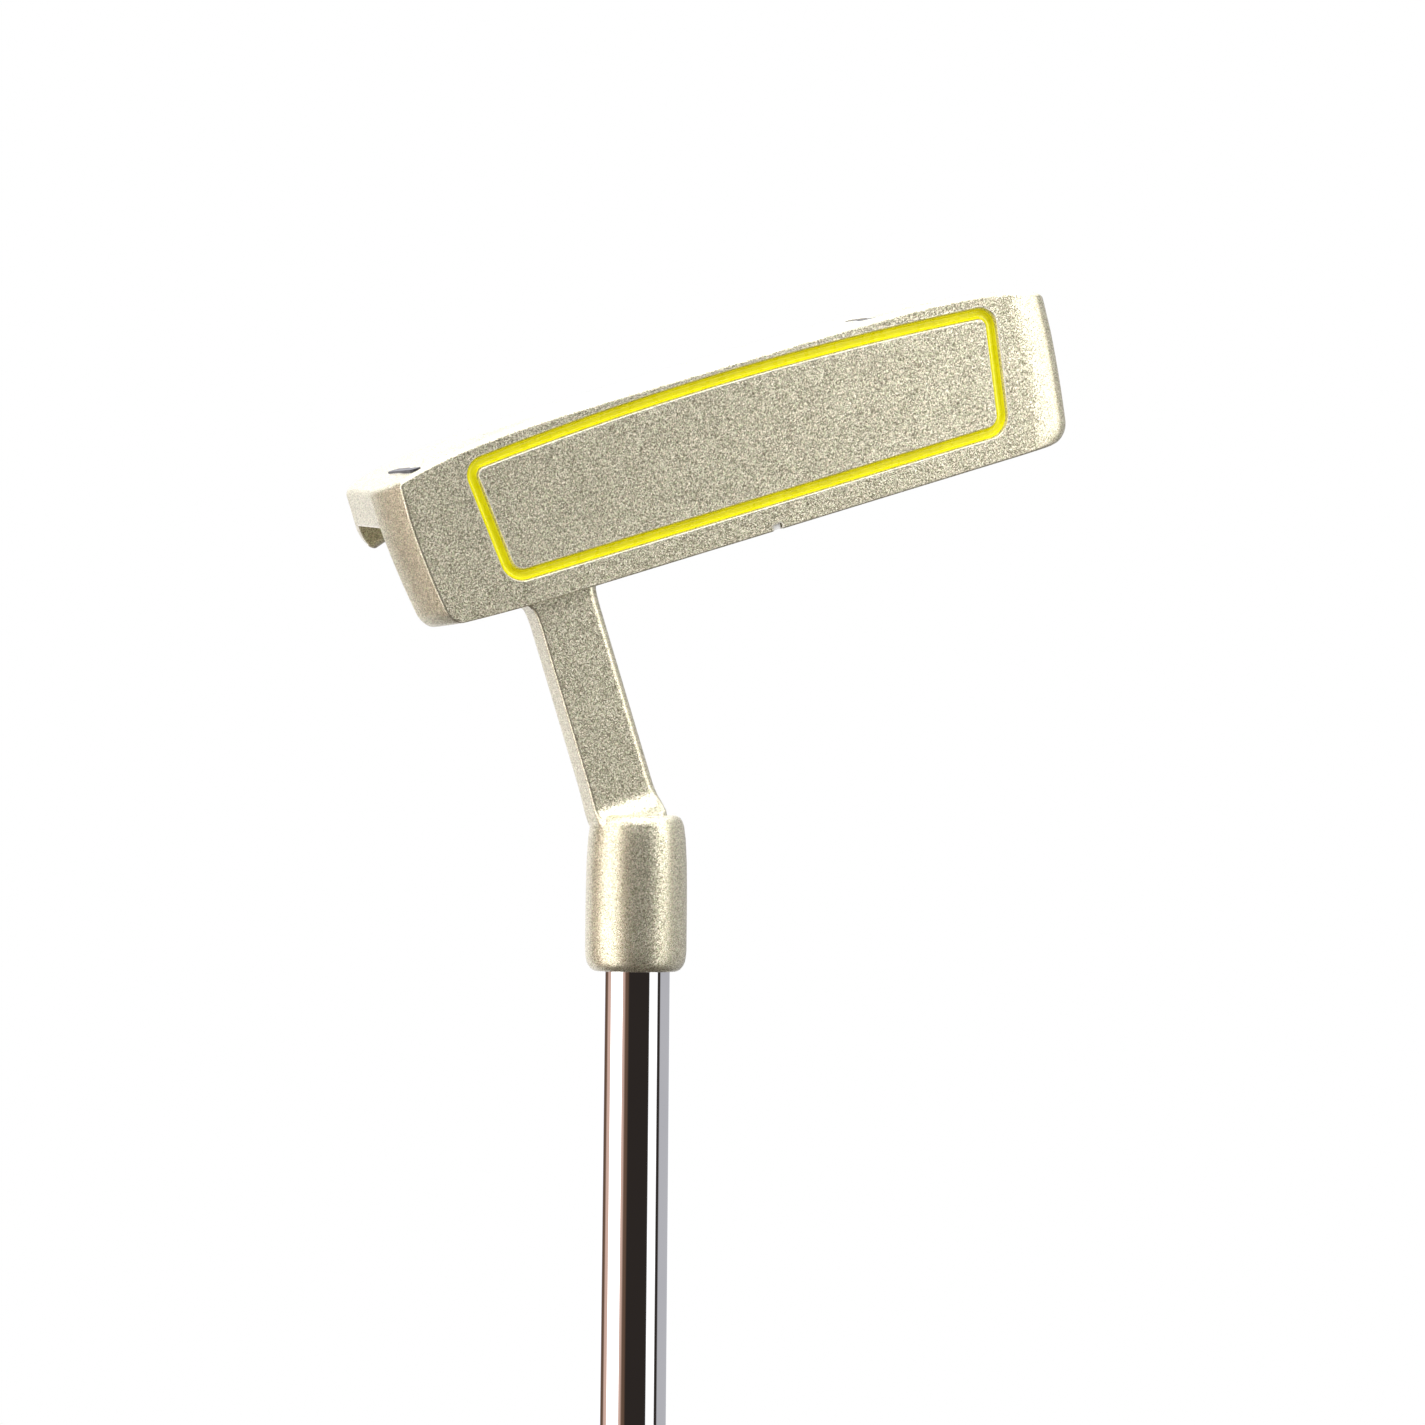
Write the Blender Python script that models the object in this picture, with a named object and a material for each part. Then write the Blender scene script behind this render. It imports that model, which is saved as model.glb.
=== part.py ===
"""Blade putter, held head up: a painted head casting on a chrome shaft with a rubber grip.

The frame is the club's own. The origin is the centre of the butt end, +Z runs up the
shaft to the head, -Y is the way the face looks and +X is the toe side. The head itself
is drawn in a leaning frame of its own: x heel to toe, y sole to topline, z face to back.
"""

import math

import bmesh
import bpy
from mathutils import Matrix, Vector

MM = 0.001
GAP = 0.25 * MM                      # clearance between neighbouring pieces

# Club
MOUTH_Z = 782 * MM                   # mouth of the hosel above the butt end
LEAN = math.radians(17)              # sole line against the shaft's square: lie is 90 - LEAN
LOFT = math.radians(3)

# Head, in its own frame; x = 0 is where the shaft's axis crosses the topline
TOPLINE_Z = MOUTH_Z + 55.2 * MM      # that crossing's height above the butt end
HEAD_HEIGHT = 24.4 * MM              # lowest point of the sole to the topline
FACE_Y = -4.2 * MM                   # leading edge, against the shaft's axis
MIDDLE = 16.0 * MM                   # middle of the sole's camber
HEEL = -31.3 * MM                    # ends of the flat face, by the sole
TOE = 61.85 * MM
TOE_REACH = 6.3 * MM                 # the toe reaches this far past the flat face
BLADE = 8.0 * MM                     # thickness of the blade
DEPTH = 24.6 * MM                    # leading edge to back of the flange
HEEL_BULGE = 2.15 * MM               # the heel's end wall bows out this far behind the face
HEEL_BACK = -32.5 * MM               # ends of the flange, by the rim
TOE_BACK = 67.3 * MM
TOE_EASE = 17 * MM                   # the face eases into the toe on this radius, then TOE_TURN
TOE_TURN = 2.5 * MM
TOE_BREAK = math.radians(15)         # where the first radius hands over to the second
CREASE = 0.45 * MM                   # radius of the edge between the face and the heel's end
BACK_EDGE = 0.5 * MM                 # radius of the blade's back corners
SOLE_RISE = 2.5 * MM                 # the sole's camber lifts its ends by this much
HEEL_SPAN = (46.4 * MM, 4.7)         # reach and power of the camber towards the heel
TOE_SPAN = (50.0 * MM, 6.3)          # and towards the toe: nearly flat, then steeper
FLOOR = 5.3 * MM                     # thickness of the flange
RIM = 9.0 * MM                       # height of the back rim above the sole
RIM_WALL = 4.6 * MM
RIM_CORNER = 3.2 * MM                # radius of the rim's upper ends
REAR_BOW = 1.2 * MM                  # the back edge bows out in the middle
REAR_CORNER = 4.0 * MM
HEEL_LEAN = 2.4 * MM                 # the ends lean in towards the topline
TOE_LEAN = 1.6 * MM
HEEL_CORNER = 3.0 * MM               # radius of the ends' upper corners, seen from the front
TOE_CORNER = 2.8 * MM
TOP_DROP = 0.5 * MM                  # the topline drops this much behind the neck
SOLE_EASE = 0.8 * MM                 # the ends also draw in this much towards the sole
EASE_HIGH = 4.5 * MM                 # from this height down
SOLE_ROUND = 1.0 * MM
TOP_ROUND = 0.4 * MM
RIM_ROUND = 0.7 * MM
CHANNEL_ROUND = 0.9 * MM             # cast radius along both sides of the channel's floor

# Groove in the face: a rounded rectangle whose long side by the sole is cambered
GROOVE_WIDE = 1.65 * MM
GROOVE_FLOOR = 1.15 * MM
GROOVE_DEEP = 1.0 * MM
GROOVE_MID = 18.78 * MM
GROOVE_HALF = 40.2 * MM              # half length between centre lines, at the sole side
GROOVE_LEAN = 0.13                   # the short sides lean in towards the topline
GROOVE_TOP = 20.05 * MM              # centre lines of the long sides
GROOVE_LOW = 1.95 * MM
GROOVE_CAMBER = 480 * MM
GROOVE_CORNERS = (1.9 * MM, 2.5 * MM)  # centre-line radii by the sole and by the topline
ENAMEL = 0.4 * MM                    # thickness of the enamel in every groove

# Sight lines in the topline and the flange, and two plain bars in the sole
SIGHT_X = 20.2 * MM
SIGHT_WIDE = 1.4 * MM
SIGHT_DEEP = 0.9 * MM
MARK_WIDE = 1.6 * MM
MARK_LONG = 11 * MM
HEEL_MARK = (-27.5 * MM, 8.5 * MM)   # middle of each mark in the sole, as (x, z)
TOE_MARK = (43 * MM, 8.5 * MM)

# Neck and hosel
NECK_LEAN = math.radians(18.2)
NECK_CROSS = 17.3 * MM               # where the neck's axis meets the shaft's, above the mouth
NECK_WIDE = 9.5 * MM
NECK_FRONT = -1.5 * MM               # its flat front, against the shaft's axis
NECK_BACK = 6.6 * MM
SLEEVE_R = 7.0 * MM
SLEEVE_LONG = 21.6 * MM
BORE_DEEP = 19.0 * MM

# Shaft
TIP_R = 4.70 * MM
SLOW_TAPER = 0.0017                  # radius gained per length near the tip
SLOW_LONG = 170 * MM
BUTT_R = 7.35 * MM
WALL = 0.9 * MM
SHAFT_BUTT_Z = 4.2 * MM
TAPE = 0.3 * MM

# Grip
CAP_THICK = 3.6 * MM
CAP_STEM = 10 * MM
FLAT_X = 10.7 * MM                   # the thumb flat stands this far from the axis, all along
GRIP_STATIONS = (
    # height, flat side, width, reach of the round back
    (CAP_THICK + GAP, FLAT_X - 0.8 * MM, 21.8 * MM, 13.6 * MM),
    (8 * MM, FLAT_X, 23.4 * MM, 14.8 * MM),
    (35 * MM, FLAT_X, 23.8 * MM, 15.8 * MM),
    (70 * MM, FLAT_X, 23.4 * MM, 15.4 * MM),
    (110 * MM, FLAT_X, 22.4 * MM, 13.2 * MM),
    (160 * MM, FLAT_X, 21.2 * MM, 11.6 * MM),
    (215 * MM, FLAT_X, 19.8 * MM, 10.6 * MM),
    (262 * MM, FLAT_X, 18.6 * MM, 9.8 * MM),
    (266 * MM, FLAT_X - 1.4 * MM, 15.8 * MM, 8.4 * MM),
)

ROUND = 40                           # sides of the turned pieces

HEAD_FRAME = Matrix((
    (math.cos(LEAN), math.sin(LEAN), 0, 0),
    (0, 0, 1, FACE_Y),
    (math.sin(LEAN), -math.cos(LEAN), 0, TOPLINE_Z),
    (0, 0, 0, 1),
)) @ Matrix.Translation((0, -HEAD_HEIGHT, 0))


def clear_scene():
    for obj in list(bpy.data.objects):
        bpy.data.objects.remove(obj, do_unlink=True)


def material(name, colour, roughness, metallic=0.0):
    mat = bpy.data.materials.new(name)
    mat.use_nodes = True
    shader = mat.node_tree.nodes["Principled BSDF"]
    shader.inputs["Base Color"].default_value = (*colour, 1)
    shader.inputs["Roughness"].default_value = roughness
    shader.inputs["Metallic"].default_value = metallic
    mat.diffuse_color = (*colour, 1)
    return mat


def add(name, bm, mat, matrix=None, smooth=None):
    """An object of this mesh, with its faces turned outwards."""
    bmesh.ops.remove_doubles(bm, verts=bm.verts, dist=1e-7)
    bmesh.ops.recalc_face_normals(bm, faces=bm.faces)
    mesh = bpy.data.meshes.new(name)
    bm.to_mesh(mesh)
    bm.free()
    if smooth:
        mesh.shade_smooth()
        mesh.set_sharp_from_angle(angle=math.radians(smooth))
    obj = bpy.data.objects.new(name, mesh)
    bpy.context.scene.collection.objects.link(obj)
    if matrix:
        obj.matrix_world = matrix
    if mat:
        mesh.materials.append(mat)
    return obj


def cutter(obj):
    obj.hide_render = True
    obj.display_type = "WIRE"
    return obj


def boolean(obj, other, operation):
    mod = obj.modifiers.new(other.name, "BOOLEAN")
    mod.object = other
    mod.operation = operation
    mod.solver = "EXACT"


def lathe(name, profile, mat, z=0.0, sides=ROUND, smooth=35):
    """Turns a closed (radius, height) outline about the Z axis; points at radius 0 become poles."""
    bm = bmesh.new()
    rings = []
    for radius, height in profile:
        if radius == 0:
            rings.append([bm.verts.new((0, 0, height))] * sides)
            continue
        turn = [2 * math.pi * i / sides for i in range(sides)]
        rings.append([bm.verts.new((radius * math.cos(a), radius * math.sin(a), height)) for a in turn])
    for low, high in zip(rings, rings[1:] + rings[:1]):
        for i in range(sides):
            j = (i + 1) % sides
            corners = list(dict.fromkeys((low[i], low[j], high[j], high[i])))
            if len(corners) > 2:
                bm.faces.new(corners)
    return add(name, bm, mat, Matrix.Translation((0, 0, z)), smooth)


def loft(name, rings, mat, matrix=None, smooth=35):
    """A solid through closed rings of points, with its first and last ring filled."""
    bm = bmesh.new()
    rows = [[bm.verts.new(point) for point in ring] for ring in rings]
    for low, high in zip(rows, rows[1:]):
        for i in range(len(low)):
            j = (i + 1) % len(low)
            bm.faces.new((low[i], low[j], high[j], high[i]))
    bm.faces.new(rows[0])
    bm.faces.new(rows[-1])
    return add(name, bm, mat, matrix, smooth)


def box(name, low, high, mat=None, matrix=None):
    bm = bmesh.new()
    bmesh.ops.create_cube(bm, size=1)
    for vert in bm.verts:
        vert.co = Vector([a if c < 0 else b for a, b, c in zip(low, high, vert.co)])
    return add(name, bm, mat, matrix)


def arc(centre, radius, start, end, steps):
    turn = [math.radians(start + (end - start) * i / steps) for i in range(steps + 1)]
    return [(centre[0] + radius * math.cos(a), centre[1] + radius * math.sin(a)) for a in turn]


def sole(x):
    """Height of the cambered sole over its lowest line."""
    span, power = HEEL_SPAN if x < MIDDLE else TOE_SPAN
    return SOLE_RISE * (abs(x - MIDDLE) / span) ** power


def topline(x):
    heelward = max(0.0, (-14 * MM - x) / (18 * MM))
    return HEAD_HEIGHT - TOP_DROP * heelward * heelward


def half_length(x):
    return MIDDLE - HEEL + HEEL_BULGE if x < MIDDLE else TOE - MIDDLE + TOE_REACH


def end_inset(y, lean, corner):
    """How far an end has moved in at this height: a slow lean, then the upper corner's arc."""
    rise = max(0.0, y - 0.25 * HEAD_HEIGHT) / (0.75 * HEAD_HEIGHT)
    into = min(1.0, max(0.0, y - HEAD_HEIGHT + corner) / corner)
    low = max(0.0, 1 - y / EASE_HIGH)
    return lean * rise ** 1.6 + corner * (1 - math.sqrt(1 - into * into)) + SOLE_EASE * low * low


def head_point(x, z, y):
    """Moves the ends in towards the topline, and leans the face back by the loft."""
    heelward = x < MIDDLE
    inset = end_inset(y, HEEL_LEAN, HEEL_CORNER) if heelward else end_inset(y, TOE_LEAN, TOE_CORNER)
    x = MIDDLE + (x - MIDDLE) * (1 - inset / half_length(x))
    z += y * math.tan(LOFT) * max(0.0, 1 - z / BLADE)
    return x, y, z


def heel_wall(z):
    return HEEL - HEEL_BULGE * (1 - (1 - z / BLADE) ** 2)


def heel_end(edge, steps):
    """Plan line from the blade's back corner round to the face, at the heel."""
    bend = math.atan2(BLADE, 2 * HEEL_BULGE)
    low = CREASE * (1 - math.cos(bend))
    points = [(heel_wall(BLADE), BLADE)]
    if edge:
        points = [(heel_wall(BLADE) + edge * (1 - math.cos(a)), BLADE - edge * (1 - math.sin(a)))
                  for a in (math.radians(45), math.radians(22))]
    high = BLADE - (edge or 0.3 * MM)
    points += [(heel_wall(z), z) for z in (high + (low - high) * i / steps for i in range(steps))]
    middle = HEEL + CREASE * math.tan(bend / 2)
    turn = [bend * (1 - i / 2) for i in range(3)]
    points += [(middle - CREASE * math.sin(a), CREASE - CREASE * math.cos(a)) for a in turn]
    return points if edge else [points[0]] + points


def toe_end(edge, steps):
    """Plan line from the face round to the blade's back corner, at the toe."""
    turn = [TOE_BREAK * i / steps for i in range(steps + 1)]
    points = [(TOE + TOE_EASE * math.sin(a), TOE_EASE * (1 - math.cos(a))) for a in turn]
    x, z = points[-1]
    centre = (x - TOE_TURN * math.sin(TOE_BREAK), z + TOE_TURN * math.cos(TOE_BREAK))
    turn = [TOE_BREAK + (math.pi / 2 - TOE_BREAK) * i / steps for i in range(1, steps + 1)]
    points += [(centre[0] + TOE_TURN * math.sin(a), centre[1] - TOE_TURN * math.cos(a)) for a in turn]
    tip = points[-1][0]
    high = BLADE - (edge or 0.3 * MM)
    points += [(tip, points[-1][1] * (1 - i / 3) + high * i / 3) for i in range(1, 4)]
    if edge:
        return points + [(tip - edge * (1 - math.cos(a)), BLADE - edge * (1 - math.sin(a)))
                         for a in (math.radians(22), math.radians(45))]
    return points + [(tip, BLADE)] * 2


def head_lines(edge, spans=16, steps=3):
    """Plan lines, heel to toe: the face, the blade's back, the rim's front and the rim's back."""
    start = HEEL + 1.2 * MM
    runs = [start + (TOE - start) * i / spans for i in range(spans)]
    heel, toe = heel_end(edge, steps), toe_end(edge, steps)
    face = heel + [(x, 0) for x in runs] + toe
    count = len(face)
    ends = (heel[0][0] + edge * 0.4, toe[-1][0] - edge * 0.4)
    back = [(ends[0] + (ends[1] - ends[0]) * i / (count - 1), BLADE) for i in range(count)]
    back[0], back[-1] = face[0], face[-1]
    rim_z = DEPTH - RIM_WALL
    rim_front = [(HEEL_BACK + (TOE_BACK - HEEL_BACK) * i / (count - 1), rim_z) for i in range(count)]
    knees = (HEEL_BACK + REAR_CORNER, TOE_BACK - REAR_CORNER)
    rim_back = [rim_front[0]] + arc((knees[0], DEPTH - REAR_CORNER), REAR_CORNER, 180, 90, steps)
    straight = count - 2 * len(rim_back)
    for i in range(1, straight + 1):
        t = i / (straight + 1)
        rim_back.append((knees[0] + (knees[1] - knees[0]) * t, DEPTH + REAR_BOW * 4 * t * (1 - t)))
    rim_back += arc((knees[1], DEPTH - REAR_CORNER), REAR_CORNER, 90, 0, steps) + [rim_front[-1]]
    return face, back, rim_front, rim_back


def quarter(radius, steps):
    """A rounded edge, as (rise, inset) from the horizontal face to the wall."""
    turn = [math.pi / 2 * i / steps for i in range(steps + 1)]
    return [(radius * (1 - math.cos(a)), radius * (1 - math.sin(a))) for a in turn]


def head_body(steps=2):
    """Blade, flange and back rim: strips side by side in plan, each with its own height."""
    bm = bmesh.new()
    levels = (0.3, 0.55, 0.74, 0.86, 0.93)

    def row(line, height, inset=0.0, centre=DEPTH / 2, shift=0.0, ends=0.0):
        """A plan line raised to its height, after moving it in from the outline by the inset."""
        points = []
        for x, z in line:
            pull = inset + ends * (0.45 + 0.55 * max(0.0, z - DEPTH + RIM_WALL) / RIM_WALL)
            shrunk = MIDDLE + (x - MIDDLE) * (1 - pull / half_length(x))
            deep = centre + (z - centre) * (1 - inset / min(centre, DEPTH - centre))
            clear = max(0.0, min(1.0, (x - line[0][0]) / (2 * MM), (line[-1][0] - x) / (2 * MM)))
            points.append(bm.verts.new(head_point(shrunk, deep + shift * clear, height(x))))
        return points

    def strips(rows):
        for low, high in zip(rows, rows[1:]):
            for i in range(len(low) - 1):
                corners = list(dict.fromkeys((low[i], low[i + 1], high[i + 1], high[i])))
                if len(corners) > 2:
                    bm.faces.new(corners)

    def foot(line):
        rows = [row(line, lambda x, r=rise: sole(x) + r, inset) for rise, inset in quarter(SOLE_ROUND, steps)]
        return rows + [row(line, lambda x: sole(x) + FLOOR)]

    def fillet(line, side, rounding=0.0):
        """Rows just above the channel's floor; side is which way the cast radius spreads."""
        rows = []
        for rise, inset in quarter(CHANNEL_ROUND, steps)[1:]:
            up = max(0.0, FLOOR + rise - RIM + RIM_CORNER) if rounding else 0.0
            rows.append(row(line, lambda x, r=rise: sole(x) + FLOOR + r, shift=side * inset, ends=corner(up)))
        return rows

    def corner(up):
        return RIM_CORNER - math.sqrt(RIM_CORNER ** 2 - min(up, RIM_CORNER) ** 2)

    def crown(line, radius, top, centre, ends=False):
        """The rounding at the top of a wall."""
        rows = []
        for drop, inset in reversed(quarter(radius, steps)):
            up = corner(RIM_CORNER - drop - 0.25 * MM) if ends else 0.0
            rows.append(row(line, lambda x, d=drop: top(x) - d, inset, centre, ends=up))
        return rows

    def blade(line, side):
        rows = fillet(line, side)
        for level in levels:
            rows.append(row(line, lambda x, t=level: sole(x) + FLOOR + CHANNEL_ROUND
                            + (topline(x) - sole(x) - FLOOR - CHANNEL_ROUND) * t))
        return rows + crown(line, TOP_ROUND, topline, BLADE / 2)

    def rim(line, side):
        rows = fillet(line, side, 1.0)
        for up in (1.2 * MM, 2.0 * MM):
            rise = RIM - RIM_CORNER + up
            if FLOOR + CHANNEL_ROUND < rise < RIM - RIM_ROUND:
                rows.append(row(line, lambda x, r=rise: sole(x) + r, ends=corner(up)))
        return rows + crown(line, RIM_ROUND, lambda x: sole(x) + RIM, DEPTH - RIM_WALL / 2, True)

    plain, eased = head_lines(0.0), head_lines(BACK_EDGE)
    face, back, rim_front, rim_back = [foot(line) for line in plain]
    channel = [row(plain[1], lambda x: sole(x) + FLOOR, shift=CHANNEL_ROUND),
               row(plain[2], lambda x: sole(x) + FLOOR, shift=-CHANNEL_ROUND)]
    upper = [blade(eased[0], 0), blade(eased[1], 1)]
    rims = [rim(plain[2], -1), rim(plain[3], 0)]
    strips(face + upper[0])
    strips([channel[0]] + upper[1])
    strips([channel[1]] + rims[0])
    strips(rim_back + rims[1])
    strips([upper[0][-1], upper[1][-1]])
    strips([rims[0][-1], rims[1][-1]])
    strips(channel)
    strips([face[0], back[0], rim_front[0], rim_back[0]])
    for i in (0, -1):
        strips([[line[i] for line in rows] for rows in (face, rim_front)])
    bmesh.ops.delete(bm, geom=[v for v in bm.verts if not v.link_faces], context="VERTS")
    return bm


def groove_ring(out, steps=4):
    """One edge of the groove in the plane of the face, at this distance outside its centre line."""
    slant = math.hypot(1, GROOVE_LEAN)
    low_r, top_r = GROOVE_CORNERS
    top = (GROOVE_HALF - GROOVE_LEAN * (GROOVE_TOP - top_r - GROOVE_LOW) - top_r * slant, GROOVE_TOP - top_r)
    rise = GROOVE_LOW + low_r + (GROOVE_HALF - low_r) ** 2 / (2 * GROOVE_CAMBER)
    low = (GROOVE_HALF - GROOVE_LEAN * (rise - GROOVE_LOW) - low_r * slant, rise)
    tilt = math.degrees(math.atan(GROOVE_LEAN))

    def bottom(x):
        return rise - low_r - (low[0] ** 2 - x * x) / (2 * GROOVE_CAMBER) - out

    right = arc(low, low_r + out, -90, tilt, steps) + arc(top, top_r + out, tilt, 90, steps)
    left = [(-x, y) for x, y in reversed(right)]
    under = [(x, bottom(x)) for x in (low[0] * (i / 6 - 1) for i in range(1, 12))]
    over = [(top[0] * (1 - i / 6), GROOVE_TOP + out) for i in range(1, 12)]
    return [(GROOVE_MID + x, y) for x, y in under + right + over + left]


def groove_band(name, edges, mat=None):
    """A closed band that follows the groove; edges are (distance from its centre line, depth)."""
    bm = bmesh.new()
    rows = []
    for off, deep in edges:
        ring = [(x, y, deep + y * math.tan(LOFT)) for x, y in groove_ring(off)]
        rows.append([bm.verts.new(point) for point in ring])
    for low, high in zip(rows, rows[1:] + rows[:1]):
        for i in range(len(low)):
            j = (i + 1) % len(low)
            bm.faces.new((low[i], low[j], high[j], high[i]))
    return add(name, bm, mat, HEAD_FRAME, 35)


def d_section(wide, front, back, corner):
    """Half width, front and back of a bar with a flat front, rounded corners and a round back."""
    return bar_section(wide / 2, wide / 2, front, back, corner, corner)


def bar_section(left, right, front, back, corner_left, corner_right, steps=3, turns=6):
    """A flat front between two rounded corners, straight sides, and a round back."""
    waist = front + 0.45 * (back - front)
    turn = [math.radians(90 * i / turns) for i in range(turns + 1)]
    toe = arc((right - corner_right, front + corner_right), corner_right, -90, 0, steps)
    toe += [(right * math.cos(a), waist + (back - waist) * math.sin(a)) for a in turn]
    heel = arc((left - corner_left, front + corner_left), corner_left, -90, 0, steps)
    heel += [(left * math.cos(a), waist + (back - waist) * math.sin(a)) for a in turn]
    return toe + [(-x, y) for x, y in reversed(heel[:-1])]


def neck():
    """A bar from inside the hosel sleeve to inside the blade, drawn along its own axis."""
    top = (TOPLINE_Z - MOUTH_Z - NECK_CROSS) / math.cos(NECK_LEAN) - 3.6 * MM
    half = NECK_WIDE / 2 / MM
    stations = (
        # along the axis; then past half the width on the heel and toe sides; front; back; heel corner
        (0.2 * MM, 0.3, -1.2, -0.6, -1.0, 3.0),
        (1.5 * MM, 0.5, -0.8, -1.6, -0.7, 3.0),
        (3.0 * MM, 0.6, -0.4, -3.1, -0.4, 3.0),
        (4.5 * MM, 0.4, -0.1, -2.0, -0.1, 1.8),
        (5.0 * MM, 0.35, 0, -1.35, 0, 1.2),
        (6.2 * MM, 0.24, 0, -0.4, 0, 0.55),
        (7.8 * MM, 0.1, 0, 0, 0, 0.4),
        (0.5 * top, 0, 0, 0, 0, 0.4),
        (top - 3.2 * MM, 0, 0, 0, 0, 0.4),
        (top - 1.6 * MM, 0.1, 0.05, 0, 0, 0.4),
        (top, 0.8, 0.4, 0, 0, 0.4),
        (top + 0.7 * MM, 1.8, 0.9, 0, 0, 0.4),
        (top + 9.0 * MM, 0.8, 0.4, 0.3, -3.6, 0.4),
    )
    rings = []
    for along, left, right, front, back, corner in stations:
        sides = ((half + left) * MM, (half + right) * MM, NECK_FRONT + front * MM, NECK_BACK + back * MM)
        ring = bar_section(*sides, corner * MM, 1.5 * MM)
        rings.append([(x, y, along) for x, y in ring])
    place = Matrix.Translation((0, 0, MOUTH_Z + NECK_CROSS)) @ Matrix.Rotation(-NECK_LEAN, 4, "Y")
    return cutter(loft("neck", rings, None, place))


def bar(name, centre, size, mat=None):
    """A straight bar in the head's frame, from its centre and its size along x, y and z."""
    low = [c - w / 2 for c, w in zip(centre, size)]
    high = [c + w / 2 for c, w in zip(centre, size)]
    return box(name, low, high, mat, HEAD_FRAME)


def slot_and_enamel(head, name, centre, size, up, mat):
    """Cuts a slot that opens at centre towards up, and lays enamel on its floor.

    The size is the slot's width, depth and length, then the length of the enamel."""
    x, y, z = centre
    wide, deep, long, filled = size
    cut = bar(name + "_slot", (x, y - up * (deep / 2 - MM), z), (wide, deep + 2 * MM, long))
    boolean(head, cutter(cut), "DIFFERENCE")
    paint = (x, y - up * (deep - GAP - ENAMEL / 2), z)
    bar(name, paint, (wide - 2 * GAP, ENAMEL, filled), mat)


def head():
    mat = material("champagne_flake_paint", (0.60, 0.55, 0.44), 0.35, 0.75)
    obj = add("putter_head", head_body(), mat, HEAD_FRAME, 35)
    boolean(obj, neck(), "UNION")
    top = SLEEVE_LONG
    sleeve = (
        (0, top),
        (0, 0),
        (SLEEVE_R - 1.7 * MM, 0),
        (SLEEVE_R - 0.8 * MM, 0.4 * MM),
        (SLEEVE_R - 0.2 * MM, 1.4 * MM),
        (SLEEVE_R, 3.0 * MM),
        (SLEEVE_R, 0.55 * top),
        (SLEEVE_R - 0.2 * MM, 0.84 * top),
        (SLEEVE_R - 0.5 * MM, 0.93 * top),
        (SLEEVE_R - 1.1 * MM, 0.985 * top),
        (SLEEVE_R - 1.9 * MM, top),
    )
    boolean(obj, cutter(lathe("sleeve", sleeve, None, MOUTH_Z)), "UNION")
    bore_r = TIP_R + 0.75 * MM
    bore = ((0, BORE_DEEP), (0, -5 * MM), (bore_r, -5 * MM), (bore_r, BORE_DEEP))
    boolean(obj, cutter(lathe("bore", bore, None, MOUTH_Z)), "DIFFERENCE")
    return obj


def face_groove(obj):
    """The groove is cut wider towards the face; its yellow enamel lies on the groove's floor."""
    half, floor = GROOVE_WIDE / 2, GROOVE_FLOOR / 2
    flare = (half - floor) / GROOVE_DEEP
    outside = half + flare * MM
    edges = ((outside, -MM), (floor, GROOVE_DEEP), (-floor, GROOVE_DEEP), (-outside, -MM))
    boolean(obj, cutter(groove_band("face_groove", edges)), "DIFFERENCE")
    yellow = material("yellow_enamel", (0.80, 0.78, 0.02), 0.3)
    low = GROOVE_DEEP - GAP
    wide = floor - GAP
    edges = ((wide, low - ENAMEL), (wide, low), (-wide, low), (-wide, low - ENAMEL))
    groove_band("face_groove_enamel", edges, yellow)


def marks(obj):
    white = material("white_enamel", (0.85, 0.85, 0.83), 0.35)
    dark = material("dark_enamel", (0.03, 0.03, 0.04), 0.35)
    lean = HEAD_HEIGHT * math.tan(LOFT)
    size = (SIGHT_WIDE, SIGHT_DEEP, BLADE + 4 * MM, BLADE - lean - 2 * GAP)
    middle = (SIGHT_X, topline(SIGHT_X), (BLADE + lean) / 2)
    slot_and_enamel(obj, "topline_sight_enamel", middle, size, 1, white)
    channel = DEPTH - RIM_WALL - BLADE
    size = (SIGHT_WIDE, SIGHT_DEEP, channel - 3 * MM, channel - 3 * MM - 2 * GAP)
    middle = (SIGHT_X, sole(SIGHT_X) + FLOOR, BLADE + channel / 2)
    slot_and_enamel(obj, "flange_sight_enamel", middle, size, 1, white)
    for side, (x, z) in (("heel", HEEL_MARK), ("toe", TOE_MARK)):
        size = (MARK_WIDE, SIGHT_DEEP, MARK_LONG, MARK_LONG - 2 * GAP)
        slot_and_enamel(obj, "sole_mark_" + side + "_enamel", (x, sole(x), z), size, -1, dark)


def shaft_radius(z):
    """Outer radius of the tube at this height: nearly parallel near the tip, then tapering."""
    knee = MOUTH_Z + BORE_DEEP - SLOW_LONG
    if z > knee:
        return TIP_R + SLOW_TAPER * (MOUTH_Z + BORE_DEEP - z)
    slow = TIP_R + SLOW_TAPER * SLOW_LONG
    return slow + (BUTT_R - slow) * (knee - z) / (knee - SHAFT_BUTT_Z)


def tube(name, low, high, inner, outer, mat):
    """A tube that follows the shaft; inner and outer are offsets from its outer radius."""
    knee = MOUTH_Z + BORE_DEEP - SLOW_LONG
    heights = sorted({low, high} | ({knee} if low < knee < high else set()))
    walls = [(shaft_radius(z) + inner, z) for z in heights]
    walls += [(shaft_radius(z) + outer, z) for z in reversed(heights)]
    return lathe(name, walls, mat)


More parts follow.
